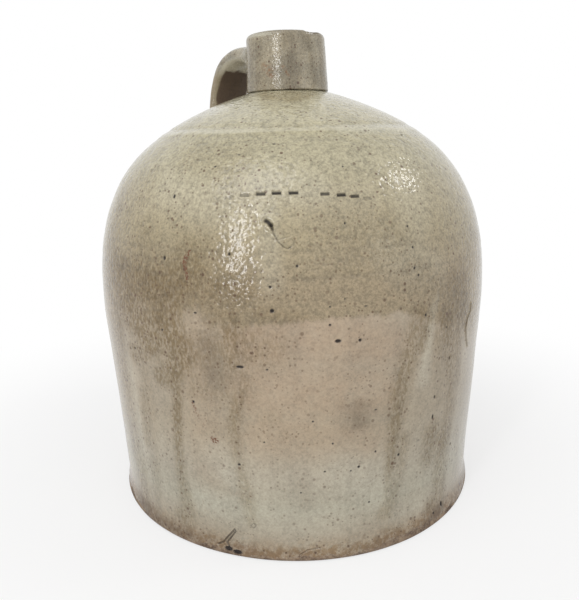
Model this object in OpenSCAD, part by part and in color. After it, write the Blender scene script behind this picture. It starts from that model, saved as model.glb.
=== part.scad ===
// Two-gallon stoneware jug: a salt-glazed body with a domed shoulder, a plain neck,
// a small strap handle behind the neck and a dark slip lining.
// The origin is on the jug's axis at the underside of the base, +Z is up, and the handle points along +Y.
// All lengths are in millimetres.

/* [Base] */
// Radius that the wall would have at the ground without the bead at its foot
foot_radius = 115.25; // [105:0.25:118]
// Thickness of the slab that the wall stands on
floor_thickness = 10.5; // [8:0.5:14]
// How far the squeezed-out edge of the slab stands proud of the wall
foot_bead = 2.4; // [0.5:0.1:3]
// Height over which the bead dies into the wall
foot_bead_height = 7.7; // [4:0.1:10]
// Rounding of the bottom edge
foot_edge_round = 1.6; // [0.5:0.1:3]

/* [Wall] */
// Radius at the widest place
girth_radius = 122; // [119:0.5:130]
// Height of the widest place above the ground
girth_height = 125; // [100:1:140]
// Height below the girth over which the taper eases into the upright
girth_blend = 12; // [6:1:40]
// Thickness of the wall at the base
wall_foot = 9.5; // [8:0.25:12]
// Thickness of the wall at the girth
wall_girth = 8.5; // [7:0.25:11]
// Radius of the thrown corner between floor and wall, inside
inside_corner = 9; // [4:0.5:14]

/* [Shoulder] */
// Height above the girth at which the dome would close
dome_height = 116.2; // [105:0.1:125]
// Fullness of the dome, 2 for an ellipse and more for a squarer shoulder
dome_fullness = 2.58; // [2.3:0.02:2.9]
// Radius of the tooled ring where the top was luted on
ring_radius = 79; // [74:0.5:86]
// Thickness of the wall at the shoulder
wall_shoulder = 7.75; // [6.5:0.25:9.5]

/* [Top] */
// Rise of the top from the ring to the seam at the neck
top_rise = 23.8; // [18:0.1:30]
// How far the top swells above a straight cone
top_bulge = 1.2; // [0:0.1:3]
// How far the edge of the top stands proud of the shoulder at the ring
ring_step = 0.5; // [0.1:0.1:1]

/* [Neck] */
// Radius of the neck at its seam
neck_root_radius = 25.5; // [24:0.1:30]
// Radius of the neck under its lip
neck_top_radius = 24.1; // [23:0.1:28]
// Height of the neck from seam to rim
neck_height = 33.5; // [30:0.5:40]
// Rounding of the lip, outside
lip_round = 3; // [1.5:0.1:4]
// Rounding of the lip, inside
mouth_round = 1.6; // [0.5:0.1:2.5]
// Radius of the mouth that the stopper goes into
mouth_radius = 15; // [13:0.25:17]
// Rounding of the throat where the mouth opens into the jug
throat_round = 4.5; // [3:0.25:5]
// Depth of the tooled groove under the neck
seam_groove = 0.7; // [0.2:0.1:1.2]
// Radius of the round chip out of the rim
chip_radius = 6; // [4:0.25:7]
// Depth of the chip below the rim
chip_depth = 2.4; // [0.5:0.1:3]

/* [Handle] */
// Distance from the jug's axis to the outer face of the strap
handle_reach = 62.3; // [56:0.1:66]
// Distance below the rim at which the middle of the strap springs from the neck
handle_drop = 10.2; // [9:0.1:14]
// How far the strap climbs before it bends down
handle_rise = 8; // [3:0.25:10]
// Width of the strap at its middle
strap_width = 31; // [22:0.5:36]
// Thickness of the strap at the neck
strap_root_thickness = 11; // [8:0.1:13]
// Thickness of the strap where it meets the shoulder
strap_end_thickness = 8.5; // [6:0.1:11]
// Extra width of the strap at each end
strap_flare = 4; // [0:0.25:8]
// How far the roll of clay round each root is wiped out over the jug
root_smear = 5; // [2:0.1:7]
// How far that roll is wiped up along the strap
smear_length = 8; // [5:0.5:12]
// How far the lower roll is wiped down the shoulder below the strap
tail_length = 13; // [8:0.5:16]
// Thickness of both rolls where they feather out on the strap
feather = 0.4; // [0.3:0.05:0.8]

/* [Lining] */
// Thickness of the slip lining
slip_thickness = 0.6; // [0.4:0.05:1.2]

/* [Luting] */
// Height of the ridge on the lower edge of each luted joint
lute_ridge = 1.8; // [1:0.1:2.5]
// Width of that ridge
lute_width = 3.6; // [2:0.1:5]

/* [Hidden] */
// Sides of every turned piece
turned = 96;
// Stretches of the outline from base to neck
base_steps = 6;
wall_steps = 14;
dome_steps = 26;
top_steps = 8;
round_steps = 6;
// Rings along the strap and along each roll, and points round them
strap_rings = 36;
roll_rings = 10;
strap_sides = 28;
// Squareness of the strap's section, 1 for an ellipse
section_power = 0.74;
// How much closer the wall's points stand near the base
wall_power = 1.5;
// Share of the way out at which the strap starts to bend, and of its drop at which it hangs straight
bend_share = 0.68;
hang_share = 0.26;
// Share of the strap's length over which it thins down from the neck
thinning_share = 0.62;
// Share of the roll's spread that is left on top of the strap at the neck
crown_share = 0.3;
cubic_mm_per_litre = 1e6;

body_glaze = [0.68, 0.62, 0.53];
shoulder_glaze = [0.68, 0.65, 0.52];
neck_glaze = [0.60, 0.56, 0.47];
handle_glaze = [0.68, 0.66, 0.57];
bare_clay = [0.52, 0.43, 0.36];
slip_brown = [0.22, 0.13, 0.08];

function unit(v) = v / norm(v);
function reversed(list) = [for (i = [len(list) - 1 : -1 : 0]) list[i]];
function slice(list, first, last) = [for (i = [first : last]) list[i]];
function mix(a, b, share) = a + (b - a) * share;
function total(list, i = 0) = i < len(list) ? list[i] + total(list, i + 1) : 0;
// An arc about a centre, from one angle to another
function arc(centre, radius, from, to) =
    [for (i = [0 : round_steps])
        let (angle = mix(from, to, i / round_steps))
        centre + radius * [cos(angle), sin(angle)]];

// Outline of the wall, a straight taper that eases into the girth, with a bead at the foot
function eased(depth) = depth > girth_blend ? depth - girth_blend / 2 : depth * depth / (2 * girth_blend);
taper = (girth_radius - foot_radius) / eased(girth_height);
function wall_radius(z) =
    girth_radius - taper * eased(girth_height - z) + foot_bead * exp(-pow(z / foot_bead_height, 2));
// Outline of the dome, a superellipse
function dome_rise(radius) =
    dome_height * pow(1 - pow(radius / girth_radius, dome_fullness), 1 / dome_fullness);
function dome_radius(rise) =
    girth_radius * pow(1 - pow(rise / dome_height, dome_fullness), 1 / dome_fullness);

ring_height = girth_height + dome_rise(ring_radius);
seam_height = ring_height + top_rise;
rim_height = seam_height + neck_height;
ring_point = [ring_radius, ring_height];
seam_point = [neck_root_radius, seam_height];
// Direction up the top, and the direction that stands square on it
top_slope = unit(seam_point - ring_point);
top_normal = [top_slope[1], -top_slope[0]];

base_outline = concat(
    arc([wall_radius(0) - foot_edge_round, foot_edge_round], foot_edge_round, -90, 0),
    [for (i = [1 : base_steps])
        let (z = mix(foot_edge_round, floor_thickness, i / base_steps))
        [wall_radius(z), z]]);
wall_outline = [for (i = [0 : wall_steps])
    let (z = mix(floor_thickness, girth_height, pow(i / wall_steps, wall_power)))
    [wall_radius(z), z]];
dome_outline = [for (i = [0 : dome_steps])
    let (rise = (ring_height - girth_height) * sin(90 * i / dome_steps))
    [dome_radius(rise), girth_height + rise]];
// A place on the top's outline, at a share of the way from ring to seam
function top_at(share) = mix(ring_point, seam_point, share) + top_normal * 4 * top_bulge * share * (1 - share);
top_outline = [for (i = [0 : top_steps]) top_at(i / top_steps)];
// The lower edge of the top stands a little proud, which leaves the ring
top_face = [for (i = [0 : top_steps]) top_outline[i] + top_normal * ring_step * (1 - i / top_steps)];
// Height of the top at a distance from the axis
function top_height(radius) = top_at((ring_radius - radius) / (ring_radius - neck_root_radius))[1];

outline = concat(wall_outline, slice(dome_outline, 1, dome_steps), slice(top_outline, 1, top_steps));
girth_index = wall_steps;
ring_index = wall_steps + dome_steps;
seam_index = ring_index + top_steps;

// Wall thickness, from base to girth to shoulder
function wall_at(z) = z < girth_height
    ? mix(wall_foot, wall_girth, (z - floor_thickness) / (girth_height - floor_thickness))
    : mix(wall_girth, wall_shoulder, min(1, (z - girth_height) / (ring_height - girth_height)));
// Direction of a line at one of its places, and the direction that points to its left
function along_of(line, i) = unit(line[min(i + 1, len(line) - 1)] - line[max(i - 1, 0)]);
function left_of(line, i) = let (along = along_of(line, i)) [-along[1], along[0]];
inside_line = [for (i = [0 : seam_index]) outline[i] + left_of(outline, i) * wall_at(outline[i][1])];
// How far a place on the inside of the wall lies before the inside of the ring
function before_ring(i) = (inside_line[ring_index] - inside_line[i]) * along_of(outline, i);

// Inside of the clay, from the floor round the corner and up to girth, ring and throat
bore_radius = mouth_radius + slip_thickness;
corner_centre = [inside_line[0][0] - inside_corner, floor_thickness + inside_corner];
corner_line = arc(corner_centre, inside_corner, -90, 0);
wall_inside = concat(corner_line,
    [for (p = slice(inside_line, 1, girth_index)) if (p[1] > corner_centre[1]) p]);
// Inside a sharp ring the wall's thickness leaves no room for the last places of dome and top
dome_inside = [for (i = [girth_index : ring_index]) if (i == ring_index || before_ring(i) > 0) inside_line[i]];
// The throat is an arc that touches both the inside of the top and the bore
throat_radius = bore_radius + throat_round;
throat_from = inside_line[seam_index];
throat_centre = [throat_radius,
    throat_from[1] + (throat_round - (throat_radius - throat_from[0]) * top_normal[0]) / top_normal[1]];
throat_start = atan2(-top_normal[1], -top_normal[0]) + 360;
throat_line = arc(throat_centre, throat_round, throat_start, 180);
top_inside = concat(
    [for (i = [ring_index : seam_index]) let (p = inside_line[i])
        if (p[0] > throat_line[0][0] && (i == ring_index || before_ring(i) < 0)) p],
    throat_line);
// The neck is luted on a little above the throat, so that the joint clears the arc
collar_height = max(seam_height, throat_centre[1]);
lining_top = rim_height - mouth_round;

// The ridge of a luted joint, between the outer and the inner edge of a wall
function lute(outer, inner) =
    let (along = unit(inner - outer), middle = (outer + inner) / 2, up = [along[1], -along[0]])
    [middle - along * lute_width / 2, middle + up * lute_ridge, middle + along * lute_width / 2];
base_joint = lute(wall_outline[0], corner_line[0]);
girth_joint = lute(outline[girth_index], inside_line[girth_index]);
ring_joint = lute(ring_point, inside_line[ring_index]);
collar_joint = lute(seam_point, [bore_radius, collar_height]);

module turn(points) {
    rotate_extrude($fn = turned) polygon(points);
}

module base_slab() {
    color(bare_clay) turn(concat(
        [[0, 0]],
        base_outline,
        base_joint,
        [corner_line[0], [0, floor_thickness]]));
}

module lower_wall() {
    color(body_glaze) turn(concat(
        wall_outline,
        girth_joint,
        reversed(wall_inside),
        reversed(base_joint)));
}

module shoulder_dome() {
    color(shoulder_glaze) turn(concat(
        dome_outline,
        ring_joint,
        reversed(dome_inside),
        reversed(girth_joint)));
}

module shoulder_top() {
    color(shoulder_glaze) turn(concat(
        top_face,
        collar_joint,
        [[bore_radius, collar_height]],
        reversed(top_inside),
        reversed(ring_joint),
        [ring_point]));
}

neck_face = arc([neck_top_radius - lip_round, rim_height - lip_round], lip_round, 0, 90);

module rim_chip() {
    translate([0, -(neck_top_radius - lip_round / 2), rim_height + chip_radius - chip_depth])
        sphere(chip_radius, $fn = turned);
}

module neck_collar() {
    color(neck_glaze) difference() {
        turn(concat(
            [[neck_root_radius - seam_groove, seam_height],
             [neck_root_radius, seam_height + seam_groove]],
            neck_face,
            arc([bore_radius + mouth_round, rim_height - mouth_round], mouth_round, 90, 180),
            [[bore_radius, collar_height]],
            reversed(collar_joint)));
        rim_chip();
    }
}

module slip_lining() {
    clay = concat(
        [[0, floor_thickness]],
        wall_inside,
        slice(dome_inside, 1, len(dome_inside) - 1),
        slice(top_inside, 1, len(top_inside) - 1),
        [[bore_radius, lining_top]]);
    face = [for (i = [0 : len(clay) - 1]) clay[i] + left_of(clay, i) * slip_thickness];
    color(slip_brown) turn(concat(clay, reversed(face)));
}

// The outside of shoulder, top and neck, filled, which trims the handle
module jug_envelope() {
    turn(concat(
        [[0, girth_height]],
        dome_outline,
        top_face,
        neck_face,
        [[0, rim_height]]));
}

// Middle of the strap, a curve from inside the neck to inside the shoulder
strap_out = handle_reach - strap_end_thickness / 2;
strap_top = rim_height - handle_drop;
strap_foot = top_height(strap_out) - strap_end_thickness / 2;
strap_from = neck_top_radius - lip_round;
strap_path = [
    [strap_from, strap_top],
    [mix(strap_from, strap_out, bend_share), strap_top + handle_rise],
    [strap_out + strap_end_thickness / 3, mix(strap_top, strap_foot, hang_share)],
    [strap_out, strap_foot]];
// Speed along the curve at the neck and at the shoulder
neck_speed = 3 * (strap_path[1] - strap_path[0]);
foot_speed = 3 * (strap_path[3] - strap_path[2]);
// Before its first place the curve runs on straight into the neck
strap_start = (neck_top_radius / 2 - strap_from) / neck_speed[0];
function curve_at(p, t) =
    pow(1 - t, 3) * p[0] + 3 * t * pow(1 - t, 2) * p[1] + 3 * t * t * (1 - t) * p[2] + pow(t, 3) * p[3];
function curve_along(p, t) =
    unit(pow(1 - t, 2) * (p[1] - p[0]) + 2 * t * (1 - t) * (p[2] - p[1]) + t * t * (p[3] - p[2]));
function half_width(t) = strap_width / 2 + strap_flare / 2 * pow(abs(2 * t - 1), 3);
function half_thickness(t) = mix(strap_root_thickness, strap_end_thickness, min(1, t / thinning_share)) / 2;
function signed_power(value, power) = sign(value) * pow(abs(value), power);

// One ring of the strap, a squared oval set square to the curve
function strap_ring(at) =
    let (t = max(at, 0),
         along = curve_along(strap_path, t),
         middle = curve_at(strap_path, t) + min(at, 0) * neck_speed,
         out = [-along[1], along[0]])
    [for (i = [0 : strap_sides - 1])
        let (angle = 360 * i / strap_sides,
             place = middle + out * half_thickness(t) * signed_power(sin(angle), section_power))
        [half_width(t) * signed_power(cos(angle), section_power), place[0], place[1]]];

// A mesh over rows of equal length, closed across each row and, for a ring, from the last row to the first
module skin(rows, ring = false) {
    sides = len(rows[0]);
    count = len(rows);
    last = (count - 1) * sides;
    faces = [for (r = [0 : ring ? count - 1 : count - 2], i = [0 : sides - 1], half = [0, 1])
        let (next = (r + 1) % count,
             a = r * sides + i,
             b = r * sides + (i + 1) % sides,
             c = next * sides + (i + 1) % sides,
             d = next * sides + i)
        half == 0 ? [a, b, c] : [a, c, d]];
    start = [for (i = [1 : sides - 2]) [0, i + 1, i]];
    end = [for (i = [1 : sides - 2]) [last, last + i, last + i + 1]];
    polyhedron([for (row = rows) each row], ring ? faces : concat(faces, start, end));
}

module strap_handle() {
    color(handle_glaze) difference() {
        skin([for (r = [0 : strap_rings]) strap_ring(mix(strap_start, 1, r / strap_rings))]);
        jug_envelope();
    }
}

// How far a place stands clear of the neck, and of the top
function neck_gap(p) = norm([p[0], p[1]]) - mix(neck_root_radius, neck_top_radius,
    (p[2] - seam_height) / (rim_height - lip_round - seam_height));
function top_gap(p) = (p[2] - top_height(norm([p[0], p[1]]))) * top_normal[1];
// Spread of the wiped clay, full at the jug and feathered out along the strap
function spread(gap, smear) = feather + (smear - feather) * pow(1 - min(1, max(0, gap / smear_length)), 2);
// A roll of clay round the strap: at each side its wiped face runs along the strap and its seat comes back
module clay_roll(from, to, at_neck, slope, outer_smear) {
    rings = [for (r = [0 : roll_rings]) strap_ring(mix(from, to, r / roll_rings))];
    skin(reversed([for (i = [0 : strap_sides - 1])
        let (angle = 360 * i / strap_sides,
             smear = mix(root_smear, outer_smear, max(0, sin(angle))),
             away = [cos(angle), slope[0] * sin(angle), slope[1] * sin(angle)],
             face = [for (ring = rings)
                 ring[i] + away * spread(at_neck ? neck_gap(ring[i]) : top_gap(ring[i]), smear)])
        concat(face, reversed([for (ring = rings) ring[i]]))]), ring = true);
}

module upper_handle_roll() {
    reach = (neck_top_radius + smear_length - strap_from) / neck_speed[0];
    color(handle_glaze) difference() {
        clay_roll(strap_start, reach, true, [0, 1], root_smear * crown_share);
        jug_envelope();
    }
}

module lower_handle_roll() {
    reach = (smear_length + strap_end_thickness) / norm(foot_speed);
    color(handle_glaze) difference() {
        clay_roll(1 - reach, 1, false, -top_slope, tail_length);
        jug_envelope();
    }
}

// Room inside up to the seam of the neck
room = concat(wall_inside, slice(dome_inside, 1, len(dome_inside) - 1), top_inside);
function frustum(a, b) = PI / 3 * (b[1] - a[1]) * (a[0] * a[0] + a[0] * b[0] + b[0] * b[0]);
capacity = total([for (i = [1 : len(room) - 1]) frustum(room[i - 1], room[i])]) / cubic_mm_per_litre;
echo(litres = capacity, ring = ring_height, seam = seam_height, rim = rim_height);

base_slab();
lower_wall();
shoulder_dome();
shoulder_top();
neck_collar();
strap_handle();
upper_handle_roll();
lower_handle_roll();
slip_lining();
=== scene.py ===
"""Looks of a two-gallon salt-glazed stoneware jug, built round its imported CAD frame.

Every length is in metres, in the frame's own axes: the jug's axis is Z, its base stands at Z = 0 and its
handle points along +Y. The thrown sections are spun from the same outline as the frame's solids, with a
finer skin.
"""

import functools
import math
import random

import bmesh
import bpy
import numpy as np
from mathutils import Matrix, Vector, noise


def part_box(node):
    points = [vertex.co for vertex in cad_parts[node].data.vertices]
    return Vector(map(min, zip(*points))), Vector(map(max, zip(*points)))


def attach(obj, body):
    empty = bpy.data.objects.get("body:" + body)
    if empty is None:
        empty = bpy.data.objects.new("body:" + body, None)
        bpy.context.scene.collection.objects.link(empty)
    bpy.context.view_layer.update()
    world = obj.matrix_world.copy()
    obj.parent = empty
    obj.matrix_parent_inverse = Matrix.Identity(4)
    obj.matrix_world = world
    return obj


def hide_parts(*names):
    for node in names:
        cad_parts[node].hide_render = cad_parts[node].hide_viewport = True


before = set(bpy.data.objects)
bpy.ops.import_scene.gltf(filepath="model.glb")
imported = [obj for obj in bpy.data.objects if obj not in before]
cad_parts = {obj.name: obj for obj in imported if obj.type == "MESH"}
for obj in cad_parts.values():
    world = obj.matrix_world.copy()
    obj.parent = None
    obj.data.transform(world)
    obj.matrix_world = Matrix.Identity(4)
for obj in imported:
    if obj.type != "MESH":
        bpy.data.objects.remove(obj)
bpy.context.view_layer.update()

# Places that the frame gives
floor_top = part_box("lower_wall")[0].z
girth_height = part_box("shoulder_dome")[0].z
girth_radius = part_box("shoulder_dome")[1].x
rim_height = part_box("neck_collar")[1].z

# Outline of foot, wall and dome
foot_radius = 0.11525
foot_bead = 0.0024
foot_bead_height = 0.0077
foot_edge_round = 0.0016
girth_blend = 0.012
dome_height = 0.1162
dome_fullness = 2.58
# Outline of the top and the neck
ring_radius = 0.079
top_rise = 0.0238
top_bulge = 0.0012
ring_step = 0.0005
neck_root_radius = 0.0255
neck_top_radius = 0.0241
lip_round = 0.003
mouth_round = 0.0016
mouth_radius = 0.015
throat_round = 0.0045
seam_groove = 0.0007
# Walls and lining
wall_foot = 0.0095
wall_girth = 0.0085
wall_shoulder = 0.00775
inside_corner = 0.009
slip_thickness = 0.0006
lute_ridge = 0.0018
lute_width = 0.0036
# Round chip out of the rim
chip_radius = 0.006
chip_depth = 0.0024
# Strap handle
handle_reach = 0.0623
handle_drop = 0.0102
handle_rise = 0.008
strap_width = 0.031
strap_root_thickness = 0.011
strap_end_thickness = 0.0085
strap_flare = 0.004
root_smear = 0.005
smear_length = 0.008
tail_length = 0.013
bend_share = 0.68
hang_share = 0.26
thinning_share = 0.62
crown_share = 0.3
section_power = 0.74

# Fineness of the meshes
body_sides = 576
neck_sides = 320
lining_sides = 144
skin_step = 0.0013
neck_step = 0.0006
inside_step = 0.012
bore_step = 0.003
underside_step = 0.004
handle_sides = 72
refine_cuts = 3
corner_steps = 6
round_steps = 8
lip_steps = 12
weld_distance = 2e-6
smallest_edge = 1e-5
# How exactly a radius is looked for, and what counts as on the jug's axis
search_limit = 1e-6
on_axis = 1e-9

# The photograph's frame and its camera, in the photograph's own axes: X to the right and Y away from it
photo_width = 579
photo_height = 600
focal_pixels = 615.64
sensor_width = 36.0
camera_distance = 0.40487
camera_height = 0.21623
camera_yaw = -0.303
camera_pitch = 13.996
camera_roll = 1.437
# How far the jug is turned in the photograph
view_turn = -45.0
# A line of sight is followed from this far off, in steps of this length
sight_start = 0.2
sight_step = 0.0005
sight_steps = 1000


def mix(a, b, share):
    return a + (b - a) * share


def clamp(value, low=0.0, high=1.0):
    return max(low, min(high, value))


def smooth(value, low, high):
    """0 below low, 1 above high and an even slope between."""
    share = np.clip((value - low) / (high - low), 0, 1)
    return share * share * (3 - 2 * share)


def shares_of(size, shares):
    return [size * share for share in shares]


# Outline

ring_share = 1 - (ring_radius / girth_radius) ** dome_fullness
ring_height = girth_height + dome_height * ring_share ** (1 / dome_fullness)
seam_height = ring_height + top_rise
ring_point = Vector((ring_radius, ring_height))
seam_point = Vector((neck_root_radius, seam_height))
top_slope = (seam_point - ring_point).normalized()
top_normal = Vector((top_slope.y, -top_slope.x))
bore_radius = mouth_radius + slip_thickness


def eased(depth):
    return depth - girth_blend / 2 if depth > girth_blend else depth * depth / (2 * girth_blend)


taper = (girth_radius - foot_radius) / eased(girth_height)


def wall_radius(z):
    bead = foot_bead * math.exp(-((z / foot_bead_height) ** 2))
    return girth_radius - taper * eased(girth_height - z) + bead


def dome_radius(z):
    return girth_radius * (1 - ((z - girth_height) / dome_height) ** dome_fullness) ** (1 / dome_fullness)


def top_at(share):
    return mix(ring_point, seam_point, share) + top_normal * 4 * top_bulge * share * (1 - share)


def top_height(radius):
    return top_at((ring_radius - radius) / (ring_radius - neck_root_radius)).y


def neck_radius(z):
    return mix(neck_root_radius, neck_top_radius, (z - seam_height) / (rim_height - lip_round - seam_height))


def outline_radius(z):
    """Radius of the outside at a height."""
    if z < girth_height:
        return wall_radius(z)
    if z < ring_height:
        return dome_radius(z)
    if z > seam_height:
        return neck_radius(z)
    low, high = neck_root_radius, ring_radius
    while high - low > search_limit:
        middle = (low + high) / 2
        low, high = (middle, high) if top_height(middle) > z else (low, middle)
    return low


def wall_at(z):
    """Thickness of the wall at a height."""
    if z < girth_height:
        return mix(wall_foot, wall_girth, (z - floor_top) / (girth_height - floor_top))
    return mix(wall_girth, wall_shoulder, min(1, (z - girth_height) / (ring_height - girth_height)))


def arc(centre, radius, start, stop, steps):
    """Points on a round stretch of an outline, between two angles in degrees."""
    angles = [math.radians(mix(start, stop, i / steps)) for i in range(steps + 1)]
    return [Vector((centre[0] + radius * math.cos(a), centre[1] + radius * math.sin(a))) for a in angles]


def left_of(line, i):
    along = (line[min(i + 1, len(line) - 1)] - line[max(i - 1, 0)]).normalized()
    return Vector((-along.y, along.x))


def steps_between(low, high, step):
    """Even steps from low to high, at most a step apart."""
    count = max(1, math.ceil(abs(high - low) / step))
    return [mix(low, high, i / count) for i in range(count + 1)]


def lute(outer, inner):
    """Ridge of a luted joint between the outer and the inner edge of a wall."""
    along = (inner - outer).normalized()
    middle = (outer + inner) / 2
    up = Vector((along.y, -along.x))
    return [middle - along * lute_width / 2, middle + up * lute_ridge, middle + along * lute_width / 2]


def wall_line(step):
    return [Vector((wall_radius(z), z)) for z in steps_between(floor_top, girth_height, step)]


def dome_line(step):
    reach = ring_height - girth_height
    count = math.ceil(math.hypot(reach, girth_radius - ring_radius) * 1.08 / step)
    heights = [girth_height + reach * math.sin(math.pi / 2 * i / count) for i in range(count + 1)]
    return [Vector((dome_radius(z), z)) for z in heights]


def top_line(step):
    count = math.ceil((ring_radius - neck_root_radius) / step)
    return [top_at(i / count) for i in range(count + 1)]


def inset(line):
    """The inside of a wall whose outside is line."""
    return [p + left_of(line, i) * wall_at(p.y) for i, p in enumerate(line)]


corner_centre = Vector((wall_line(inside_step)[0].x - wall_foot - inside_corner, floor_top + inside_corner))
corner_line = arc(corner_centre, inside_corner, -90, 0, corner_steps)
corner_top = corner_centre.y + inside_corner / 9
wall_inside = corner_line + [p for p in inset(wall_line(inside_step))[1:] if p.y > corner_top]
dome_inside = inset(dome_line(inside_step / 2))
throat_from = inset(top_line(inside_step))[-1]
throat_centre = Vector((bore_radius + throat_round, 0.0))
throat_rise = throat_round - (throat_centre.x - throat_from.x) * top_normal.x
throat_centre.y = throat_from.y + throat_rise / top_normal.y
throat_start = math.degrees(math.atan2(-top_normal.y, -top_normal.x)) + 360
throat_line = arc(throat_centre, throat_round, throat_start, 180, round_steps)
top_slant = [p for p in inset(top_line(inside_step))[1:] if p.x > throat_line[0].x]
top_inside = [dome_inside[-1]] + top_slant + throat_line
collar_height = max(seam_height, throat_centre.y)
base_joint = lute(wall_line(inside_step)[0], corner_line[0])
girth_joint = lute(Vector((girth_radius, girth_height)), wall_inside[-1])
ring_joint = lute(ring_point, dome_inside[-1])
collar_joint = lute(seam_point, Vector((bore_radius, collar_height)))


# Camera and the marks that are placed through it


def camera_axes():
    """Place of the camera, and its directions to the right, down and forward, in the frame's axes."""
    yaw, pitch, roll = (math.radians(a) for a in (camera_yaw, camera_pitch, camera_roll))
    forward = Vector((math.sin(yaw) * math.cos(pitch), math.cos(yaw) * math.cos(pitch), -math.sin(pitch)))
    level = Vector((math.cos(yaw), -math.sin(yaw), 0))
    down = forward.cross(level)
    right = math.cos(roll) * level + math.sin(roll) * down
    below = math.cos(roll) * down - math.sin(roll) * level
    turn = Matrix.Rotation(math.radians(view_turn), 3, "Z")
    return [turn @ v for v in (Vector((0, -camera_distance, camera_height)), right, below, forward)]


camera_place, camera_right, camera_down, camera_forward = camera_axes()


def sight_line(x, y):
    """Direction from the camera through a pixel of the photograph."""
    across = camera_right * ((x - photo_width / 2) / focal_pixels)
    down = camera_down * ((y - photo_height / 2) / focal_pixels)
    return (camera_forward + across + down).normalized()


def outside_at(azimuth, z):
    """Place on the outside of the jug, and the direction that points out of it."""
    radius, nudge = outline_radius(z), 0.0005
    slope = (outline_radius(z + nudge) - outline_radius(z - nudge)) / (2 * nudge)
    out = Vector((math.cos(azimuth), math.sin(azimuth), -slope)).normalized()
    return Vector((radius * math.cos(azimuth), radius * math.sin(azimuth), z)), out


@functools.cache
def on_jug(x, y):
    """Place on the jug that a pixel of the photograph shows, and the direction out of it there."""
    ray = sight_line(x, y)
    for i in range(sight_steps):
        place = camera_place + ray * (sight_start + i * sight_step)
        if 0 < place.z < rim_height and math.hypot(place.x, place.y) < outline_radius(place.z):
            return outside_at(math.atan2(place.y, place.x), place.z)
    raise ValueError(f"pixel {x}, {y} doesn't show the jug")


# Marks in the glaze, at pixels of the photograph. Widths and depths are real sizes.

# Open pits: pixel, width across, width upward
pits = [
    ((272, 311), 0.0024, 0.0021), ((338, 341), 0.0036, 0.0021), ((360, 340), 0.0019, 0.0018),
    ((240, 367), 0.0044, 0.0017), ((330, 325), 0.0014, 0.0014), ((330, 307), 0.0012, 0.0011),
    ((366, 306), 0.0018, 0.0009), ((426, 315), 0.0015, 0.0018), ((450, 358), 0.0014, 0.0024),
    ((435, 397), 0.0015, 0.0024), ((433, 417), 0.0016, 0.0034), ((451, 444), 0.0017, 0.0018),
    ((399, 455), 0.0017, 0.0019), ((359, 467), 0.0018, 0.0016), ((376, 452), 0.0013, 0.0014),
    ((325, 472), 0.0013, 0.0012), ((313, 422), 0.0014, 0.0012), ((376, 410), 0.0018, 0.0008),
    ((447, 327), 0.0012, 0.0011), ((195, 313), 0.0019, 0.0013), ((162, 330), 0.0015, 0.0012),
    ((135, 348), 0.0015, 0.0013), ((193, 402), 0.0016, 0.0017), ((239, 465), 0.0017, 0.0016),
    ((267, 370), 0.0012, 0.0011), ((174, 196), 0.0018, 0.0024), ((215, 166), 0.0014, 0.0013),
    ((239, 154), 0.002, 0.0008), ((274, 143), 0.0021, 0.0011), ((229, 254), 0.0014, 0.0018),
    ((164, 258), 0.0017, 0.0024), ((270, 287), 0.0017, 0.0015), ((297, 266), 0.0015, 0.0015),
    ((343, 166), 0.0012, 0.0010), ((402, 134), 0.0021, 0.0012), ((345, 223), 0.0012, 0.0012),
    ((408, 226), 0.0013, 0.0012), ((415, 268), 0.0014, 0.0016), ((419, 275), 0.0015, 0.0014),
    ((413, 247), 0.0013, 0.0013), ((160, 191), 0.0009, 0.0013), ((264, 443), 0.0011, 0.0011),
    ((333, 444), 0.0012, 0.0011), ((351, 471), 0.0011, 0.0010), ((369, 502), 0.0013, 0.0012),
    ((301, 493), 0.0012, 0.0010), ((345, 299), 0.0009, 0.0009), ((229, 548), 0.0052, 0.0030),
    ((238, 551), 0.0060, 0.0028), ((440, 503), 0.0022, 0.0034), ((432, 512), 0.0018, 0.0016),
]
pit_depth_share = 0.4
pit_depth_limit = 0.0011
# Between which shares of a pit's half width its hollow and its painted shade fade out
pit_fade_shares = (0.35, 1.15)
pit_dark_shares = (0.7, 1.1)
# Pits on the sides that the photograph doesn't show: how many, from which side to which, heights and widths
stray_pits = 70
stray_sides = (1.6, 4.68)
stray_heights = (0.012, 0.215)
stray_widths = (0.0009, 0.0026)
# Most of them are small, some are wider than they are high, and a fixed seed draws them
stray_power = 3
stray_upward_shares = (0.7, 1.3)
stray_seed = 70

# Row of plain dashes pressed into the shoulder: pixels of their middles
dashes = [
    (229.5, 197.6), (244.5, 194.8), (260.6, 193.4), (276.5, 192.4), (293.5, 192.2), (309.5, 192.8),
    (325.3, 193.4), (341.5, 194.4), (355.1, 195.7), (367.6, 197.9),
]
dash_width = 0.0045
dash_height = 0.00155
dash_depth = 0.0009
dash_edge = 0.00035
# How deep each dash was pressed
dash_press_shares = [0.3, 0.55, 0.9, 1.0, 1.0, 0.12, 0.85, 1.0, 0.9, 0.4]
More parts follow.
